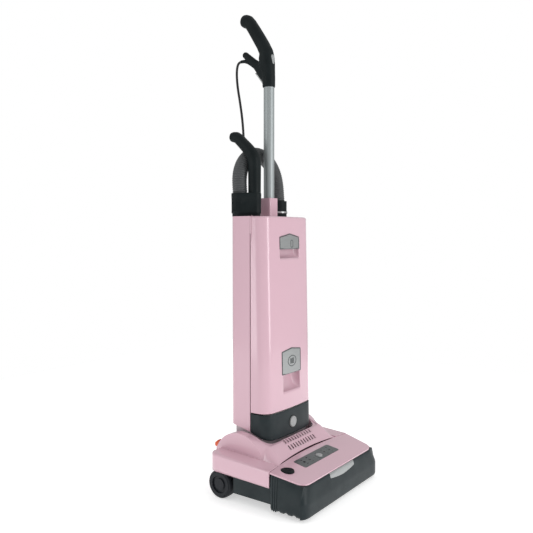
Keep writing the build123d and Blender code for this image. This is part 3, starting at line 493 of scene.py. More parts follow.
STRAP_W, STRAP_GAP = 16, 1.2
strap_rows = [ring(p(COIL_X - STRAP_W / 2 + STRAP_W * i / 4, COIL_Y, COIL_Z - COIL_MEAN_R),
                   BACK, UP, (COIL_SLICES * CORD_D / 2 + STRAP_GAP) / 1000,
                   (COIL_LAYERS * CORD_D / 2 + STRAP_GAP) / 1000, 48, 5) for i in range(5)]
strap = sheet("cord_strap", strap_rows, "tie_strap", "upper_body", ["cord_tie"], 60, 1.2, closed=True)

# ---- hood

LOBE_DEPTH, LOBE_Z, LOBE_R, LOBE_IN, LOBE_OUT = 225, 77, 78, 112, 137
HOOD_REAR, LOBE_REAR, FORK_FRONT, REAR_CORNER = 284, 298, 151, 22
SLOPE = [(96, 98.2), (104, 99.6), (113, 105.5), (122, 113.2), (131, 121.3), (143, 130.8), (148, 132.6),
         (160, 137), (175, 143.5), (190, 149.2), (205, 153.2), (225, 155.2), (300, 155.2)]
SLOT_PITCH, SLOT_W, SLOT_COUNT, SLOT_MIDDLE = 11.4, 5, 11, 2
SLOT_ROWS = ((121.5, 131.5), (136.5, 148))


def through(table, value):
    """A smooth value between the points of a short table."""
    if value <= table[0][0]:
        return table[0][1]
    for (a, low), (b, high) in zip(table, table[1:]):
        if value <= b:
            return low + (high - low) * (value - a) / (b - a)
    return table[-1][1]


def shoulder_z(depth):
    return 100 + (depth - 102) * 10 / 182


def lobe_z(depth):
    """The arc that bounds the lobe's flat outer face."""
    reach = LOBE_R ** 2 - (depth - LOBE_DEPTH) ** 2
    return max(shoulder_z(min(depth, HOOD_REAR)) - 3, LOBE_Z + sqrt(max(0, reach)))


def rounded(gap, radius):
    """How far an edge rounding has dropped at a distance in from the edge."""
    inside = min(radius, max(0, radius - gap))
    return radius - sqrt(radius ** 2 - inside ** 2)


def hood_half_width(depth):
    beyond = max(0, depth - (HOOD_REAR - REAR_CORNER))
    return HEAD_HALF_W - REAR_CORNER + sqrt(max(0, REAR_CORNER ** 2 - beyond ** 2))


def hood_front(x):
    """The bowed seam between the hood and the top panel."""
    return 112.6 - 14 * (x / HEAD_HALF_W) ** 2


def hood_z(x, depth, row):
    """Height of the hood's upper surface."""
    side = abs(x)
    slope = through(SLOPE, depth)
    crown = slope if depth < LOBE_DEPTH else min(slope, lobe_z(depth) + 0.2)
    if side <= LOBE_IN + 4.5:
        drop = rounded(side - LOBE_IN, 4.5) if side >= LOBE_IN and depth > FORK_FRONT else 0
        if side < LOBE_IN:
            drop = rounded(FORK_FRONT - depth, 4.5) if depth <= FORK_FRONT else 0
        return crown - drop
    if side <= LOBE_OUT:
        share = (side - LOBE_IN) / (LOBE_OUT - LOBE_IN)
        foot = min(crown, lobe_z(depth))
        return foot + (crown - foot) * (1 - share ** 2.4)
    gap_side = hood_half_width(row) - side
    gap_rear = HOOD_REAR - row
    over = hypot(max(0, 5 - gap_side), max(0, 5 - gap_rear))
    return shoulder_z(row) - 5 + sqrt(max(0, 25 - min(5, over) ** 2))


def hood_columns():
    """Positions across the hood, from its left edge to its right edge."""
    inner = [0]
    for slot in range(-SLOT_COUNT // 2 - 1, SLOT_COUNT // 2 + 2):
        middle_x = SLOT_MIDDLE + slot * SLOT_PITCH
        inner += [x for x in (middle_x - SLOT_W / 2, middle_x + SLOT_W / 2) if -66 < x < 70]
    right = [76, 84, 92, 100, 107, 112, 112.4, 113.2, 114.6, 116.5, 119, 122, 125, 128, 130.5, 132.5, 134.3,
             135.7, 136.6, 137, 137.5, 141, 148, 155, 162, 168, 172.5, 175, 177.2, 179.2, 181, 182.3, 183.1,
             183.5]
    return sorted(set(inner + right + [-x for x in right]))


def hood_lines():
    """Lines across the hood's upper surface, from the seam to the rear edge."""
    depths = [118, 121.5, 126, 131.5, 134, 136.5, 142, 148, 149.2, 150.2, 150.8, 151, 153, 156, 160, 165]
    depths += list(range(170, 262, 6)) + [262, 266, 270, 273.5, 276, 278.2, 280.2, 281.8, 283, 283.7, 284]
    turn_starts = HOOD_REAR - REAR_CORNER
    lines = []
    for row in [0, 0.12, 0.3, 0.5, 0.7, 0.87] + depths:
        line = []
        for x in hood_columns():
            seam = hood_front(x)
            depth = seam + (depths[0] - seam) * row if row < 1 else row
            side = abs(x)
            if side > LOBE_OUT:
                reach = (side - LOBE_OUT) * (hood_half_width(depth) - LOBE_OUT) / (HEAD_HALF_W - LOBE_OUT)
                x = copysign(LOBE_OUT + reach, x)
            elif side >= LOBE_IN and depth > turn_starts:
                depth = turn_starts + (depth - turn_starts) * (LOBE_REAR - turn_starts) / REAR_CORNER
            line.append((x, depth, hood_z(x, depth, row if row > 1 else depth)))
        lines.append(line)
    return lines


SKIRT_SHARES = (0.08, 0.25, 0.5, 0.75, 1)
hood_rows = []
for line in hood_lines():
    foot = 61 + (line[0][1] - 98) * 5 / 186
    left, right = [[(x, depth, z + (foot - z) * share) for share in SKIRT_SHARES]
                   for x, depth, z in (line[0], line[-1])]
    hood_rows.append(left[::-1] + line + right)
rear_edge = hood_rows[-1]
hood_rows += [[(x, depth, z + (66 - z) * share) for x, depth, z in rear_edge] for share in SKIRT_SHARES]
hood_bm = bmesh.new()
quads(hood_bm, [[p(*point) for point in row] for row in hood_rows])
gone = []
for face in hood_bm.faces:
    middle_point = face.calc_center_median()
    x, depth = middle_point.x * 1000, depth_of(middle_point.y)
    in_fork = abs(x) < LOBE_IN and depth > FORK_FRONT
    slot_share = ((x - SLOT_MIDDLE) / SLOT_PITCH + 0.5) % 1 - 0.5
    in_column = abs(slot_share) * SLOT_PITCH < SLOT_W / 2
    in_columns = abs(x - SLOT_MIDDLE) < SLOT_COUNT / 2 * SLOT_PITCH
    in_slot = in_column and in_columns and any(low < depth < high for low, high in SLOT_ROWS)
    if in_fork or in_slot:
        gone.append(face)
bmesh.ops.delete(hood_bm, geom=gone, context="FACES")
bmesh.ops.remove_doubles(hood_bm, verts=hood_bm.verts, dist=2e-6)
fork_edges = [e for e in hood_bm.edges if e.is_boundary and all(
    abs(v.co.x) < (LOBE_IN + 0.05) / 1000 and depth_of(v.co.y) > FORK_FRONT - 0.05 and v.co.z > 0.09
    for v in e.verts)]
walls = bmesh.ops.extrude_edge_only(hood_bm, edges=fork_edges)
for part in walls["geom"]:
    if isinstance(part, bmesh.types.BMVert):
        part.co.z = 0.072
shell(finish_mesh("hood_shell", hood_bm, "pink_shell", "power_head", ["hood"], 32), 2.6)

# ---- bumper and badge

BUMPER_PROFILE = [(9, 4.5), (8, 2.6), (8.3, 1.3), (10, 0.5), (14, 0.15), (24, 0), (36, 0), (40, 0.2),
                  (44, 0.9), (52, 2.7), (60, 4.6), (68, 6.5), (74, 8), (76.5, 8.9), (78, 10.2), (78.4, 12)]
CORNER_A, CORNER_B, BUMPER_DEPTH = 27, 12, 12
BADGE_HALF_W = 58


def side_reach(depth, z):
    """Half width of the head's dark skirt, which leans in towards its front and top."""
    forward = min(1, max(0, (92 - depth) / 80))
    high = min(1, max(0, (z - 40) / 40))
    return HEAD_HALF_W - 14 * forward * high ** 1.3


def bumper_path(inset, z, steps=14):
    """Plan of the bumper at one height, from its left end to its right end."""
    half = side_reach(BUMPER_DEPTH, z)
    quarter = []
    for i in range(steps + 1):
        angle = pi / 2 * i / steps
        depth = inset + CORNER_B * (1 - cos(angle))
        quarter.append((half - CORNER_A + CORNER_A * sin(angle), min(depth, BUMPER_DEPTH)))
    straight = [(half - CORNER_A) * i / 12 for i in range(12)]
    return mirrored([(x, inset) for x in straight] + quarter)


bumper_rows = [[p(x, depth, z) for x, depth in bumper_path(inset, z)] for z, inset in BUMPER_PROFILE]
sheet("bumper_shell", bumper_rows, "dark_plastic", "power_head", ["front_bumper"], 50, 2.4)


def badge_low(x):
    return 61 + 6 * (abs(x) / BADGE_HALF_W) ** 1.6


BADGE_TOP, BADGE_PROUD = 78.2, 0.9
badge_rows = []
bumper_face = [(height, depth) for height, depth in BUMPER_PROFILE if height > 20]
for share in (0, 0.08, 0.3, 0.5, 0.7, 0.9, 1):
    line = []
    for i in range(-20, 21):
        x = BADGE_HALF_W * i / 20
        z = badge_low(x) + (BADGE_TOP - badge_low(x)) * share
        line.append(p(x, through(bumper_face, z) - BADGE_PROUD, z))
    badge_rows.append(line)
soften(sheet("badge_plate", badge_rows, "silver_trim", "power_head", ["bumper_badge"]), 0.5, 2)

# ---- hose

HOSE_DEPTH, HOSE_LOW, HOSE_RISE, HOSE_R = 261, 734, 46, 19
HOSE_LEFT, HOSE_RIGHT, HOSE_LEAN = -82, 84, radians(4.5)
HOSE_BEND = (HOSE_RIGHT - HOSE_LEFT) / 2
RIB_PITCH, RIB_RINGS, RIB_DEPTH = 5.4, 6, 1.5


def hose_place(x, up):
    """A point of the leaning arch, from its height along the lean."""
    return p(x, HOSE_DEPTH + up * sin(HOSE_LEAN), HOSE_LOW + up * cos(HOSE_LEAN))


hose_route = [(HOSE_RIGHT, up) for up in (0, 15, 31, HOSE_RISE)]
arch_r = HOSE_BEND / cos(radians(7.5)) ** 0.5
for turn in range(15, 180, 15):
    angle = radians(turn)
    hose_route.append(((HOSE_LEFT + HOSE_RIGHT) / 2 + arch_r * cos(angle),
                       HOSE_RISE + arch_r * sin(angle)))
hose_route += [(HOSE_LEFT, up) for up in (HOSE_RISE, 32, 19, 6)]
hose_spline = nurbs("hose_line", [hose_place(x, up) for x, up in hose_route], 0, 24)
hose_path = spline_points(hose_spline)


def evenly(points, step):
    """The same line with its points a fixed step apart."""
    lengths = [0]
    for a, b in zip(points, points[1:]):
        lengths.append(lengths[-1] + (b - a).length)
    count = int(lengths[-1] / step)
    even, at_point = [], 0
    for i in range(count + 1):
        target = lengths[-1] * i / count
        while at_point < len(points) - 2 and lengths[at_point + 1] < target:
            at_point += 1
        span = lengths[at_point + 1] - lengths[at_point] or 1
        even.append(points[at_point].lerp(points[at_point + 1], (target - lengths[at_point]) / span))
    return even


hose_line = evenly(hose_path, RIB_PITCH / RIB_RINGS / 1000)
hose_bm = bmesh.new()
hose_rings = []
arch_normal = Vector((0, -cos(HOSE_LEAN), sin(HOSE_LEAN)))
for i, (centre, direction) in enumerate(zip(hose_line, along_line(hose_line))):
    wave = 0.5 - 0.5 * cos(2 * pi * i / RIB_RINGS)
    radius = (HOSE_R - RIB_DEPTH * wave ** 1.5) / 1000
    up = direction.cross(arch_normal).normalized()
    hose_rings.append(ring(centre, arch_normal, up, radius, radius, 36))
loft(hose_bm, hose_rings)
hose = finish_mesh("stretch_hose", hose_bm, "hose_grey", "upper_body", ["hose"], 60)
hose.parent = None
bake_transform(hose)

# ---- grips


def limb(bm, stations, x, wide=1.0, power=2.3):
    """A rounded limb in the machine's middle plane, from (depth, z, radius) stations, with domed ends."""
    centres = [p(x, depth, z) for depth, z, radius in stations]
    directions = along_line(centres)
    rings = []
    first, last = stations[0], stations[-1]
    domes = [(-0.98, 0.2), (-0.85, 0.53), (-0.5, 0.87)]
    for push, size in domes:
        rings.append((centres[0] + directions[0] * push * first[2] / 1000, directions[0], first[2] * size))
    rings += [(c, d, s[2]) for c, d, s in zip(centres, directions, stations)]
    for push, size in reversed(domes):
        rings.append((centres[-1] - directions[-1] * push * last[2] / 1000, directions[-1], last[2] * size))
    sideways = ACROSS
    loft(bm, [ring(centre, sideways, sideways.cross(run), wide * radius / 1000, radius / 1000, 28, power)
              for centre, run, radius in rings])


def melted(name, bm, voxel_mm, rounds, slot, body, replaces):
    """The limbs joined into one smooth moulding."""
    bmesh.ops.recalc_face_normals(bm, faces=bm.faces)
    draft = new_object(name + "_draft", to_mesh(name + "_rough", bm))
    remesh = draft.modifiers.new("remesh", "REMESH")
    remesh.mode = "VOXEL"
    remesh.voxel_size = voxel_mm / 1000
    smooth = draft.modifiers.new("smooth", "SMOOTH")
    smooth.iterations = rounds
    mesh = bpy.data.meshes.new_from_object(draft.evaluated_get(bpy.context.evaluated_depsgraph_get()))
    bpy.data.objects.remove(draft)
    mesh.name = name
    mesh.materials.clear()
    mesh.shade_smooth()
    return link_piece(name, mesh, slot, body, replaces)


grip_bm = bmesh.new()
limb(grip_bm, [(232, 1050, 16.8), (233, 1070, 17.6), (237, 1094, 20.5), (239, 1113, 20.5), (240, 1126, 18.2),
               (250, 1145, 17.4), (264, 1167, 17.2), (279, 1190, 16.6), (290, 1206, 16.4), (298, 1214, 17.2),
               (305, 1216.5, 17.6)], 0, 0.93)
limb(grip_bm, [(240, 1062, 12), (250, 1078, 13.5), (263, 1093, 11.5), (279, 1105, 9.6), (293, 1116, 9.4),
               (303, 1124.5, 8.8), (307.5, 1128.5, 8.8)], 0, 0.98)
limb(grip_bm, [(236.5, 1050, 11), (247, 1066.5, 11.5), (259, 1081.5, 11.5), (272, 1094, 8.6)], 0, 1.05)
turned(grip_bm, p(0, 231.5, 1033.5), UP, [(0, 15.6), (0.8, 16.4), (3, 16.7), (30, 16.9)], 40)
boot_bm = bmesh.new()
limb(boot_bm, [(262, 1086, 8.4), (275, 1096, 8), (288, 1104.5, 7), (300, 1110.5, 5.6), (309, 1113, 4.9)], 0)
finish_mesh("cable_boot", boot_bm, "grip_black", "upper_body")
melted("handle_moulding", grip_bm, 1.7, 7, "grip_black", "upper_body", ["handle_grip"])

strip_rows = [[p(x, depth + 2.2, z - 2.7) for x in (-4.5, -3.5, 0, 3.5, 4.5)]
              for depth, z in ((246.5, 1047), (256, 1059.5), (264, 1069.5), (271, 1078))]
soften(sheet("grip_strip", strip_rows, "silver_trim", "upper_body", wall=-3.2), 0.6, 2)

WAND_X, WAND_DEPTH = -62, 231.5
wand_bm = bmesh.new()
limb(wand_bm, [(231.5, 740, 15.2), (231.5, 790, 15.4), (231.5, 826, 15.7), (233.5, 843, 16), (240, 857, 15.6),
               (253, 871, 14.8), (268, 885, 14.2), (281, 897, 14), (290, 903, 14), (297, 903.5, 13.6)],
     WAND_X, 1.0, 2.5)
melted("wand_moulding", wand_bm, 1.7, 5, "grip_black", "wand", ["wand_grip"])

pipe_bm = bmesh.new()
turned(pipe_bm, p(WAND_X, WAND_DEPTH, 585), UP,
       [(0, 12.9), (0, 14), (0.6, 14.5), (165, 14.5), (168, 12.5), (261, 12.5)], 64)
finish_mesh("wand_pipe", pipe_bm, "tube_alu", "wand", ["wand_tube"], 40)


def hull_outline(count=96):
    """Plan round the hose cuff and the wand; the flutes on the cuff's side are cut afterwards."""
    cuff, stem = Vector((HOSE_LEFT, HOSE_DEPTH + 0.5)), Vector((WAND_X, WAND_DEPTH))
    cuff_r, stem_r = 23, 17
    points = []
    for i in range(count):
        angle = 2 * pi * i / count
        out = Vector((cos(angle), sin(angle)))
        reach = max(cuff.dot(out) + cuff_r, stem.dot(out) + stem_r)
        points.append((out, reach))
    outline = []
    for i, (out, reach) in enumerate(points):
        after_out, after_reach = points[(i + 1) % count]
        cross = out.x * after_out.y - out.y * after_out.x
        outline.append(Vector(((reach * after_out.y - after_reach * out.y) / cross,
                               (after_reach * out.x - reach * after_out.x) / cross)))
    return outline


base_bm = bmesh.new()
base_outline = hull_outline()
base_middle = sum(base_outline, Vector((0, 0))) / len(base_outline)
base_rings = []
for z, grow, flute in ((697.6, -2.3, 0), (698, -2, 0), (704.6, -2, 0), (705, -1.6, 0), (705.6, -0.5, 0),
                       (707, 0, 0), (710, 0, 0), (711, -0.2, 1), (741, -0.2, 1), (742, 0, 0),
                       (750, 0.3, 0), (755, 0.2, 0), (756.5, -0.6, 0), (757, -1.8, 0)):
    points = []
    for i, corner in enumerate(base_outline):
        out = (corner - base_middle).normalized()
        groove = 1.1 * flute * (0.5 - 0.5 * cos(pi * i)) if corner.x < -78 else 0
        place = corner + out * (grow - groove)
        points.append(p(place.x, place.y, z))
    base_rings.append(points)
loft(base_bm, base_rings)
finish_mesh("wand_cuff", base_bm, "grip_black", "wand", ["wand_base"], 40)

trim_bm = bmesh.new()
hoop(trim_bm, p(HOSE_RIGHT, HOSE_DEPTH, 709.4), UP,
     [(0, 24), (0, 25.4), (0.6, 26), (4.6, 26), (5.2, 25.4), (5.2, 24)])
finish_mesh("collar_ring", trim_bm, "silver_trim", "upper_body")

# ---- wheels and brush

for side_name, side in (("left", -1), ("right", 1)):
    low_corner, high_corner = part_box(side_name + "_tyre")
    wheel_middle = (low_corner + high_corner) / 2
    half_width = (high_corner.x - low_corner.x) * 500
    outer_r = (high_corner.z - low_corner.z) * 500
    tyre_bm = bmesh.new()
    profile = [(-half_width, 29.3), (-half_width, 32), (-half_width + 0.8, 33.4), (-half_width + 2.6, 34.6)]
    for groove in (-7, -2.3, 2.3, 7):
        profile += [(groove - 0.9, outer_r), (groove - 0.5, outer_r - 0.9), (groove + 0.5, outer_r - 0.9),
                    (groove + 0.9, outer_r)]
    profile += [(half_width - 2.6, 34.6), (half_width - 0.8, 33.4), (half_width, 32), (half_width, 29.3)]
    hoop(tyre_bm, wheel_middle, ACROSS, profile, 96)
    finish_mesh(side_name + "_tread", tyre_bm, "tyre", side_name + "_rear_wheel", [side_name + "_tyre"], 40)

BRUSH_DEPTH, BRUSH_Z = 50, 36
tufts_bm = bmesh.new()
random.seed(7)
for row in range(4):
    for step in range(44):
        x = -134 + 6.23 * step
        angle = radians(90 * row + (x + 134) * 0.7)
        for _ in range(5):
            lean = angle + random.uniform(-0.05, 0.05)
            out = Vector((0, cos(lean), sin(lean)))
            shift = random.uniform(-1.6, 1.6)
            root = p(x + shift, BRUSH_DEPTH, BRUSH_Z) + Vector((0, cos(angle), sin(angle))) * 0.0172
            tip = p(x + 1.5 * shift, BRUSH_DEPTH, BRUSH_Z) + out * random.uniform(0.0292, 0.0306)
            across = ACROSS
            loft(tufts_bm, [ring(root, across, out.cross(across), 0.0011, 0.0011, 5),
                            ring(tip, across, out.cross(across), 0.0008, 0.0008, 5)])
finish_mesh("bristle_tufts", tufts_bm, "bristle", "brush_roller", ["brush_bristles"])

# ---- cover trims

BAND_BOTTOM, BODY_TOP = 134, 697


def cover_front(x, z):
    """Depth of the body's crowned, leaning front face."""
    return 154 + (z - BAND_BOTTOM) * 12.5 / (BODY_TOP - BAND_BOTTOM) + 7 * (x / BODY_HALF_W) ** 2


def plate_face(x, z):
    """Depth of a silver plate: proud of the cover, with a slight ridge down its middle."""
    return cover_front(x, z) - 0.7 - 1.3 * max(0, 1 - abs(x) / 42)


def gabled(name, half_w, low, shoulder, peak, thick, body, replaces):
    """A silver plate with a gabled top."""
    rows = []
    for share in (0, 0.04, 0.25, 0.5, 0.75, 0.96, 1):
        line = []
        for i in range(-16, 17):
            top = shoulder + (peak - shoulder) * (1 - abs(i) / 16)
            x, z = half_w * i / 16, low + (top - low) * share
            line.append(p(x, plate_face(x, z), z))
        rows.append(line)
    return soften(sheet(name, rows, "silver_trim", body, replaces, 50, thick), 0.5, 3)


def ribbon(bm, outline, width, surface):
    """A thin closed line drawn on a surface through (x, z) points."""
    count = len(outline)
    rows = [[], []]
    for i, (x, z) in enumerate(outline):
        run = Vector(outline[(i + 1) % count]) - Vector(outline[i - 1])
        out = run.orthogonal().normalized() * (width / 2)
        for row, sign in zip(rows, (-1, 1)):
            row.append(p(x + sign * out.x, surface(x + sign * out.x, z + sign * out.y), z + sign * out.y))
    quads(bm, rows, closed=True)


def dense(corners, step=2.0):
    """A closed outline with points close together."""
    points = []
    for start, end in zip(corners, corners[1:] + corners[:1]):
        a, b = Vector(start), Vector(end)
        count = max(1, int((b - a).length / step))
        points += [tuple(a.lerp(b, i / count)) for i in range(count)]
    return points


def capsule(x, z, half_w, half_h, count=32):
    """An upright rounded slot's outline."""
    straight = half_h - half_w
    return [(a, b + copysign(straight, b - z)) for a, b in oval(x, z, half_w, half_w, count)]


def drawn(name, body, lines, surface, thick):
    """Dark lines drawn on a surface, from (outline, width) pairs."""
    bm = bmesh.new()
    for outline, width in lines:
        ribbon(bm, outline, width, surface)
    shell(finish_mesh(name, bm, "display", body), thick, 0)


gabled("carry_plate", 40.6, 294.4, 350.6, 356.6, 3.2, "cover", ["grip_plate"])
gabled("latch_plate", 41.6, 615.4, 642.6, 650.6, 3.6, "latch", ["cover_latch"])
# Dark lines round the silver plates: the seams at their edges, and along their lower edges a painted shadow
# under the plates.
PLATE_EDGES = ([(-41.6, 294.4), (-41.6, 351.6), (0, 357.9), (41.6, 351.6), (41.6, 294.4)],
               [(-43, 615), (-43, 644.4), (0, 652.6), (43, 644.4), (43, 615)])
drawn("plate_seams_and_shade", "cover", [(dense(edge), 2.6) for edge in PLATE_EDGES],
      lambda x, z: cover_front(x, z) - 0.3, 1.5)
drawn("carry_plate_mark", "cover",
      [(oval(0, 325, 18, 13.5), 2)] + [(capsule(bar, 325, 1.6, 6.5, 16), 1.4) for bar in (-6, 0, 6)],
      plate_face, 0.8)
drawn("latch_plate_mark", "latch", [(capsule(7, 627.5, 5.2, 9.5), 1.7)], plate_face, 0.8)


def eased(share):
    """Quarter-round rise from 0 to 1."""
    return sqrt(1 - (1 - min(1, max(0, share))) ** 2)


def scoop(name, half_w, low, high, reach, side_run, floor_run):
    """A finger recess with a rounded floor, open towards the plate above it."""
    rows = []
    for j in range(31):
        z = low - 0.6 + (high - low + 0.6) * (j / 30) ** 1.6
        line = []
        for i in range(-26, 27):
            x = copysign((half_w + 0.6) * (1 - (1 - abs(i) / 26) ** 1.6), i)
            dip = reach * eased((half_w - abs(x)) / side_run) * eased((z - low) / floor_run)
            line.append(p(x, cover_front(x, z) + 0.03 + dip, z))
        rows.append(line)
    sheet(name, rows, "pink_shell", "cover", (), 80, 0.8)


scoop("carry_scoop", 38, 249, 298, 22, 13, 34)
scoop("latch_scoop", 43, 591, 617, 14, 11, 18)

CORNER_X, CORNER_DEPTH, CORNER_R, CORNER_LOW = 84, 179, 28, 108
corner_bm = bmesh.new()
for side in (-1, 1):
    rows = []
    for i in range(25):
        angle = pi / 2 * i / 24
        sine, cosine = sin(angle), cos(angle)
        line = [p(side * (CORNER_X + CORNER_R * sine), CORNER_DEPTH - CORNER_R * cosine, CORNER_LOW)]
        for share in (0, 0.02, 0.3, 0.7, 1.1):
            reach = CORNER_R + (CORNER_R / max(sine, cosine) - CORNER_R) * share
            x, depth = CORNER_X + reach * sine, CORNER_DEPTH - reach * cosine
            line.append(p(side * x, depth, through(SLOPE, depth) - (3.2 if share == 0 else 2.4)))
        rows.append(line)
    quads(corner_bm, rows)
shell(finish_mesh("fork_corners", corner_bm, "pink_shell", "power_head"), 2)

# A near-black sheet under the vent slots: painted shade, so that the slots read dark.
slot_shade_rows = [[p(x, depth, hood_z(x, depth, depth) - drop) for x in range(-70, 75, 6)]
               for depth, drop in ((119, 6.5), (131, 8), (143, 8), (149.5, 8))]
sheet("slot_shade_sheet", slot_shade_rows, "belt_rubber", "power_head", wall=1)

# ---- switch and pedal

switch_bm = bmesh.new()
switch_rows = []
for sink, size in ((3, 1.02), (1.2, 1.0), (0.2, 0.93), (-0.6, 0.78), (-1, 0.5), (-1.1, 0.15)):
    switch_rows.append([p(9.5 * size * copysign(abs(cos(a)) ** 0.85, cos(a)),
                          217.2 + sink + 5.5 * (size * cos(a)) ** 2,
                          1103 + 13.5 * size * copysign(abs(sin(a)) ** 0.85, sin(a)))
                        for a in (2 * pi * i / 40 for i in range(40))])
quads(switch_bm, switch_rows, closed=True)
switch_bm.faces.new(switch_bm.verts[-40:])
for step in range(3):
    solid_box(switch_bm, p(-4.5, 215.7, 1098 + 4.6 * step), p(4.5, 217.4, 1099.4 + 4.6 * step))
finish_mesh("switch_slider", switch_bm, "grey_plastic", "switch", ["power_switch"], 50)

pedal_bm = bmesh.new()
pedal_rows = []
for depth, low_z, high_z, half in ((262, 99, 110, 7.3), (270, 100.5, 113.5, 7.5), (280, 103, 118.5, 7.8),
                                   (290, 104.5, 122.5, 8), (299, 105.3, 121.5, 8), (304, 106.3, 119, 7.8),
                                   (306.5, 108, 116.5, 7)):
    pedal_rows.append(ring(p(-125.7, depth, (low_z + high_z) / 2), ACROSS, UP,
                           half / 1000, (high_z - low_z) / 2000, 36, 5))
loft(pedal_bm, pedal_rows)
turned(pedal_bm, p(-133, 262.5, 104.5), ACROSS, [(0, 5), (15, 5)], 32)
for step in range(4):
    solid_box(pedal_bm, p(-132, 284 + 4.6 * step, 118), p(-119.4, 285.6 + 4.6 * step, 122.9))
finish_mesh("pedal_pad", pedal_bm, "pedal_orange", "pedal", ["release_pedal"], 40)

# ---- side covers and top panel

PANEL_SLOPE = 16 / 86
SCALLOPS, GROOVES = (30, 52, 74), (75, 81, 87)


def panel_z(depth):
    return 82 + (depth - 12) * PANEL_SLOPE


def skirt_low(depth):
    """Lower edge of a side cover, with its scallops."""
    low = 10
    for scallop in SCALLOPS:
        if abs(depth - scallop) < 6:
            low = max(low, 7 + sqrt(36 - (depth - scallop) ** 2))
    return low


cover_depths = [12, 12.3, 14] + [18 + 1.5 * i for i in range(38)]
for groove in GROOVES:
    cover_depths += [groove - 0.25, groove, groove + 1.6, groove + 1.85]
cover_depths = sorted(cover_depths + [78.5, 84.5, 91, 93.6, 94])
for name, side in (("left", -1), ("right", 1)):
    rows = []
    for depth in cover_depths:
        low_z, top = skirt_low(depth), panel_z(depth) - 3.9
        sunk = 1.3 if any(groove <= depth <= groove + 1.6 for groove in GROOVES) else 0
        end_tuck = 0.2 if depth in (12, 94) else 0
        line = [p(side * (side_reach(depth, low_z) - 3), depth, low_z)]
        for step in range(15):
            z = low_z + (top - low_z) * step / 14
            tuck = rounded(z - low_z, 3) + rounded(top - z, 2)
            x = side_reach(depth, z) - sunk - tuck - end_tuck
            line.append(p(side * x, depth, z))
        line.append(p(side * (side_reach(depth, top) - 9), depth, top))
        rows.append(line)
    sheet(name + "_skirt", rows, "dark_plastic", "power_head", [name + "_side_cover"], 40, 2.2)


def filled(name, loops, height, slot, body, replaces, thick, edge):
    """A flat moulding from closed loops of (x, depth) points; the later loops are its openings."""
    bm = bmesh.new()
    edges = []
    for loop in loops:
        verts = [bm.verts.new(p(x, depth, height(depth))) for x, depth in loop]
        edges += [bm.edges.new(pair) for pair in zip(verts, verts[1:] + verts[:1])]
    bmesh.ops.triangle_fill(bm, use_beauty=True, use_dissolve=False, edges=edges, normal=(0, 0, 1))
    for face in bm.faces:
        if face.normal.z < 0:
            face.normal_flip()
    mesh = to_mesh(name, bm)
    piece = link_piece(name, mesh, slot, body, replaces)
    wall = shell(piece, thick)
    return soften(wall, edge, 3, 40)


def round_corners(corners, radius):
    """A closed outline with each corner rounded."""
    points = []
    for i, corner in enumerate(corners):
        here = Vector(corner)
        before, after = [(Vector(other) - here).normalized() * radius
                         for other in (corners[i - 1], corners[(i + 1) % len(corners)])]
        points += bend(here + before, corner, here + after, 6)
    return points


def panel_rear(x):
    return 112 - 14 * (x / 181) ** 2


left_edge = [(-(side_reach(depth, 80) - 2.6), depth) for depth in range(97, 33, -7)]
front_half = side_reach(12, 80) - 2.6
left_corner = bend((-(side_reach(33, 80) - 2.6), 33), (-front_half, 10), (-front_half + 24, 10), 9)
left_half = [(-181, 98)] + left_edge + left_corner
right_half = [(-x, depth) for x, depth in reversed(left_half)]
DISPLAY_DEPTH = 76
rear = [(181 - 362 * i / 40, panel_rear(181 - 362 * i / 40)) for i in range(1, 40)]
opening = round_corners([(-88.8, 57.2), (74, 57.2), (71, 93), (-88.8, 94)], 6)
bowed = [(x, depth + (2.5 if depth > 80 else 0) * (1 - (x / 90) ** 2)) for x, depth in opening]
button_low, button_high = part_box("brush_release_button")
button_x, button_depth = (button_low.x + button_high.x) * 500, depth_of((button_low.y + button_high.y) / 2)
hole_r = (button_high.x - button_low.x) * 500 + 0.6
filled("panel_plate", [left_half + right_half + rear, bowed, oval(button_x, button_depth, hole_r, hole_r)],
       panel_z, "pink_shell", "power_head", ["top_panel"], 3.7, 0.9)
display_outline = [(x * 0.994 - 0.04, DISPLAY_DEPTH + (depth - DISPLAY_DEPTH) * 0.98) for x, depth in bowed]
mode_low, mode_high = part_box("mode_button")
mode_x, mode_depth = (mode_low.x + mode_high.x) * 500, depth_of((mode_low.y + mode_high.y) / 2)
LENS_X = (-66, -42, 28, 52)
display_holes = [oval(mode_x, mode_depth, 9.4, 9.4, 40)]
display_holes += [oval(x, DISPLAY_DEPTH, 3.1, 3.1, 20) for x in LENS_X]
filled("display_plate", [display_outline] + display_holes, lambda depth: panel_z(depth) + 0.4,
       "display", "power_head", ["display_panel"], 2.6, 0.3)
label_bm = bmesh.new()
for depth, half_w, half_h in ((DISPLAY_DEPTH - 10, 4, 0.5), (DISPLAY_DEPTH + 10, 2.2, 2.2)):
    for x in LENS_X:
        solid_box(label_bm, p(x - half_w, depth - half_h, panel_z(depth) + 0.2),
                  p(x + half_w, depth + half_h, panel_z(depth) + 0.62))
finish_mesh("display_marks", label_bm, "lens", "power_head")

# ---- cover and band shells

FRONT_R, COVER_BACK, SIDE_LEAN = 31, 210.6, 1.6
COVER_LOW, COVER_SHOULDER, COVER_ROUND, BAND_TOP = 203.6, 692, 5, 200.8
CORNER_START, CORNER_END = radians(5.2), radians(86)
WINDOWS = ((38, 249, 298), (43, 591, 617))


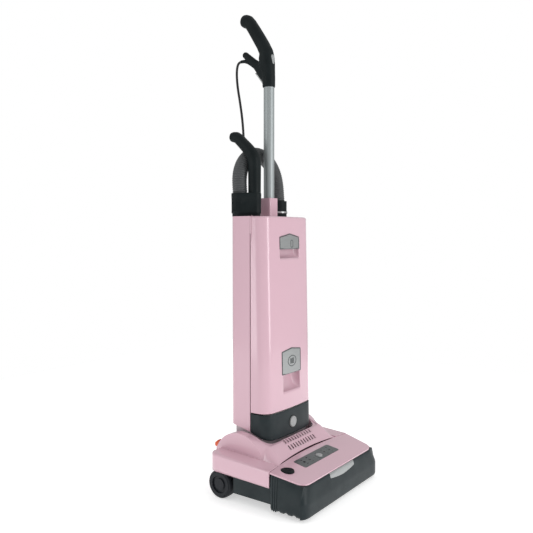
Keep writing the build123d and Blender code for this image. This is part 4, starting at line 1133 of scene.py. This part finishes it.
def front_outline(z, shrink=0.0):
    """Plan of the body's front half at one height, from its left rear edge to its right rear edge."""
    face = 154 + (z - BAND_BOTTOM) * 12.5 / (BODY_TOP - BAND_BOTTOM) + shrink
    half = BODY_HALF_W - shrink
    x_start = half - SIDE_LEAN - FRONT_R * (sin(CORNER_END) - sin(CORNER_START))
    columns = [0, 6, 12, 18, 24, 30, 36, 38, 40.5, 43, 46, 52, 58, 64, 69]
    right = [(x, face + 7 * (x / BODY_HALF_W) ** 2) for x in columns if x < x_start - 1]
    start_depth = face + 7 * (x_start / BODY_HALF_W) ** 2
    centre_x = x_start - FRONT_R * sin(CORNER_START)
    centre_depth = start_depth + FRONT_R * cos(CORNER_START)
    for i in range(21):
        angle = CORNER_START + (CORNER_END - CORNER_START) * i / 20
        right.append((centre_x + FRONT_R * sin(angle), centre_depth - FRONT_R * cos(angle)))
    last_x, last = right[-1]
    for t in (0.25, 0.5, 0.75, 0.88):
        right.append((last_x + (half - last_x) * t, last + (COVER_BACK - last) * t))
    right += [(half - 0.2, COVER_BACK - 1.6), (half - 0.7, COVER_BACK - 0.6), (half - 1.7, COVER_BACK)]
    return mirrored(right)


cover_bm = bmesh.new()
levels = sorted(set([COVER_LOW, 204.2] + [206 + 9 * i for i in range(54)] + [688, 690, COVER_SHOULDER]
                    + [level for window in WINDOWS for level in window[1:]]))
cover_rows = [[p(x, depth, z) for x, depth in front_outline(z, 0.5 if z < 204 else 0)] for z in levels]
for i in range(1, 8):
    angle = pi / 2 * i / 7
    z = COVER_SHOULDER + COVER_ROUND * sin(angle)
    cover_rows.append([p(x, depth, z) for x, depth in front_outline(z, COVER_ROUND * (1 - cos(angle)))])
rear_y = p(0, COVER_BACK, 0).y
for share in (0.3, 1):
    cover_rows.append([Vector((v.x, v.y + (rear_y - v.y) * share, v.z)) for v in cover_rows[-1]])
quads(cover_bm, cover_rows)
gone = []
for face in cover_bm.faces:
    middle_point = face.calc_center_median()
    x, z = abs(middle_point.x) * 1000, middle_point.z * 1000
    if depth_of(middle_point.y) < 180 and any(x < half and low < z < high for half, low, high in WINDOWS):
        gone.append(face)
bmesh.ops.delete(cover_bm, geom=gone, context="FACES")
cover_piece = finish_mesh("cover_shell", cover_bm, "pink_shell", "cover", ["front_cover"], 40)
cover_piece.data.flip_normals()
shell(cover_piece, 2.5)

hinge_low, hinge_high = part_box("cover_hinge_pin")
hinge = (hinge_low + hinge_high) / 2
knuckle_bm = bmesh.new()
for side in (-1, 1):
    knuckle = Vector((side * 0.024 - 0.004, hinge.y, hinge.z))
    turned(knuckle_bm, knuckle, ACROSS, [(0, 3.4), (8, 3.4)], 32)
    solid_box(knuckle_bm, Vector((knuckle.x, p(0, 160, 0).y, hinge.z - 0.0025)),
              knuckle + Vector((0.008, 0, 0.003)))
finish_mesh("cover_knuckles", knuckle_bm, "pink_shell", "cover")


def band_low(depth):
    """Lower edge of the dark band, rising towards the back."""
    return through([(156, 134), (162, 135.5), (184, 143), (212, 153)], depth)


band_rows = []
for share, tuck in ((0, 2.2), (0.008, 1.2), (0.025, 0.4), (0.05, 0), (0.3, 0), (0.6, 0), (0.97, 0),
                    (0.99, 0.2), (1, 0.7)):
    line = []
    for i, (_, plan_depth) in enumerate(front_outline(150)):
        low_z = band_low(plan_depth)
        z = low_z + (BAND_TOP - low_z) * share
        x, depth = front_outline(z, tuck)[i]
        line.append(p(x, depth, z))
    band_rows.append(line)
sheet("band_shell", band_rows, "dark_plastic", "exhaust_door", ["exhaust_cover"], 40, 2.5)

release_bm = bmesh.new()
turned(release_bm, p(0, 158, 166), -BACK,
       [(0, 14.2), (5, 14.2), (6.2, 13.9), (6.8, 13.1), (7, 12.2), (6.6, 11.6), (6.7, 6), (7, 0.5)], 64)
finish_mesh("release_disc", release_bm, "grey_plastic", "exhaust_release", ["exhaust_button"], 40)
ring_bm = bmesh.new()
hoop(ring_bm, p(0, 155, 166), -BACK, [(0, 14.9), (0, 16.4), (1, 16.2), (1.3, 15.6), (1, 14.9)], 64)
finish_mesh("release_seat", ring_bm, "belt_rubber", "exhaust_door")

# ---- CAD nodes that stay

slot_of = {s["node"]: s["material_slot"] for s in record["subparts"]}
EDGE_MM = {"rear_casing": 1.6, "base_housing": 1.0, "handle_socket": 2.0, "hose_collar": 1.2, "neck": 1.5}
for name, node in frame["nodes"].items():
    node.data.materials.clear()
    node.data.materials.append(paints[slot_of[name]].mat)
    node.data.shade_smooth()
    node.data.set_sharp_from_angle(angle=radians(30))
    if not node.hide_render:
        soften(node, EDGE_MM.get(name, 0.5), 2)

# ---- stage

floor_bm = bmesh.new()
bmesh.ops.create_grid(floor_bm, x_segments=1, y_segments=1, size=1.7)
floor_mesh = to_mesh("floor", floor_bm)
floor = new_object("floor", floor_mesh)
floor_paint = Paint("floor", (0.93, 0.93, 0.93), 0.7)
floor_paint.mottle(2, (0.92, 0.92, 0.92))
floor_paint.wire({"Emission Color": (1, 1, 1, 1), "Emission Strength": 0.5})
floor_mesh.materials.append(floor_paint.mat)

world = bpy.data.worlds.new("studio")
world.use_nodes = True
sky = world.node_tree
backdrop = plug_in(sky, sky.nodes["Background"], {"Color": (1, 1, 1, 1)})
place = add_node(sky, "TexCoord")
height = add_node(sky, "SeparateXYZ", {"Vector": place.outputs["Generated"]})
fade = add_node(sky, "MapRange", {"Value": height.outputs["Z"], "From Min": -0.1, "From Max": 1,
                                  "To Min": 0.78, "To Max": 1.15})
dome = add_node(sky, "Background", {"Color": fade.outputs["Result"], "Strength": 0.62})
sight = add_node(sky, "LightPath")
chooser = add_node(sky, "MixShader", {"Fac": sight.outputs["Is Camera Ray"], 1: dome.outputs["Background"],
                                      2: backdrop.outputs["Background"]})
plug_in(sky, sky.nodes["World Output"], {"Surface": chooser.outputs["Shader"]})
bpy.context.scene.world = world
bpy.context.scene.view_settings.view_transform = "Standard"


def area_light(name, position, target, width, height, watts):
    """A soft box that faces a point of the machine."""
    data = bpy.data.lights.new(name, "AREA")
    data.shape = "RECTANGLE"
    data.size, data.size_y = width, height
    data.energy = watts
    light = new_object(name, data)
    light.location = position
    light.rotation_euler = (target - position).to_track_quat("-Z", "Y").to_euler()


middle = p(0, 160, 600)
area_light("left_strip", Vector((-2.45, 1.3, 0.8)), middle, 0.45, 2.4, 10)
area_light("front_strip", Vector((0.45, -2.8, 1.0)), middle, 0.8, 2.2, 26)
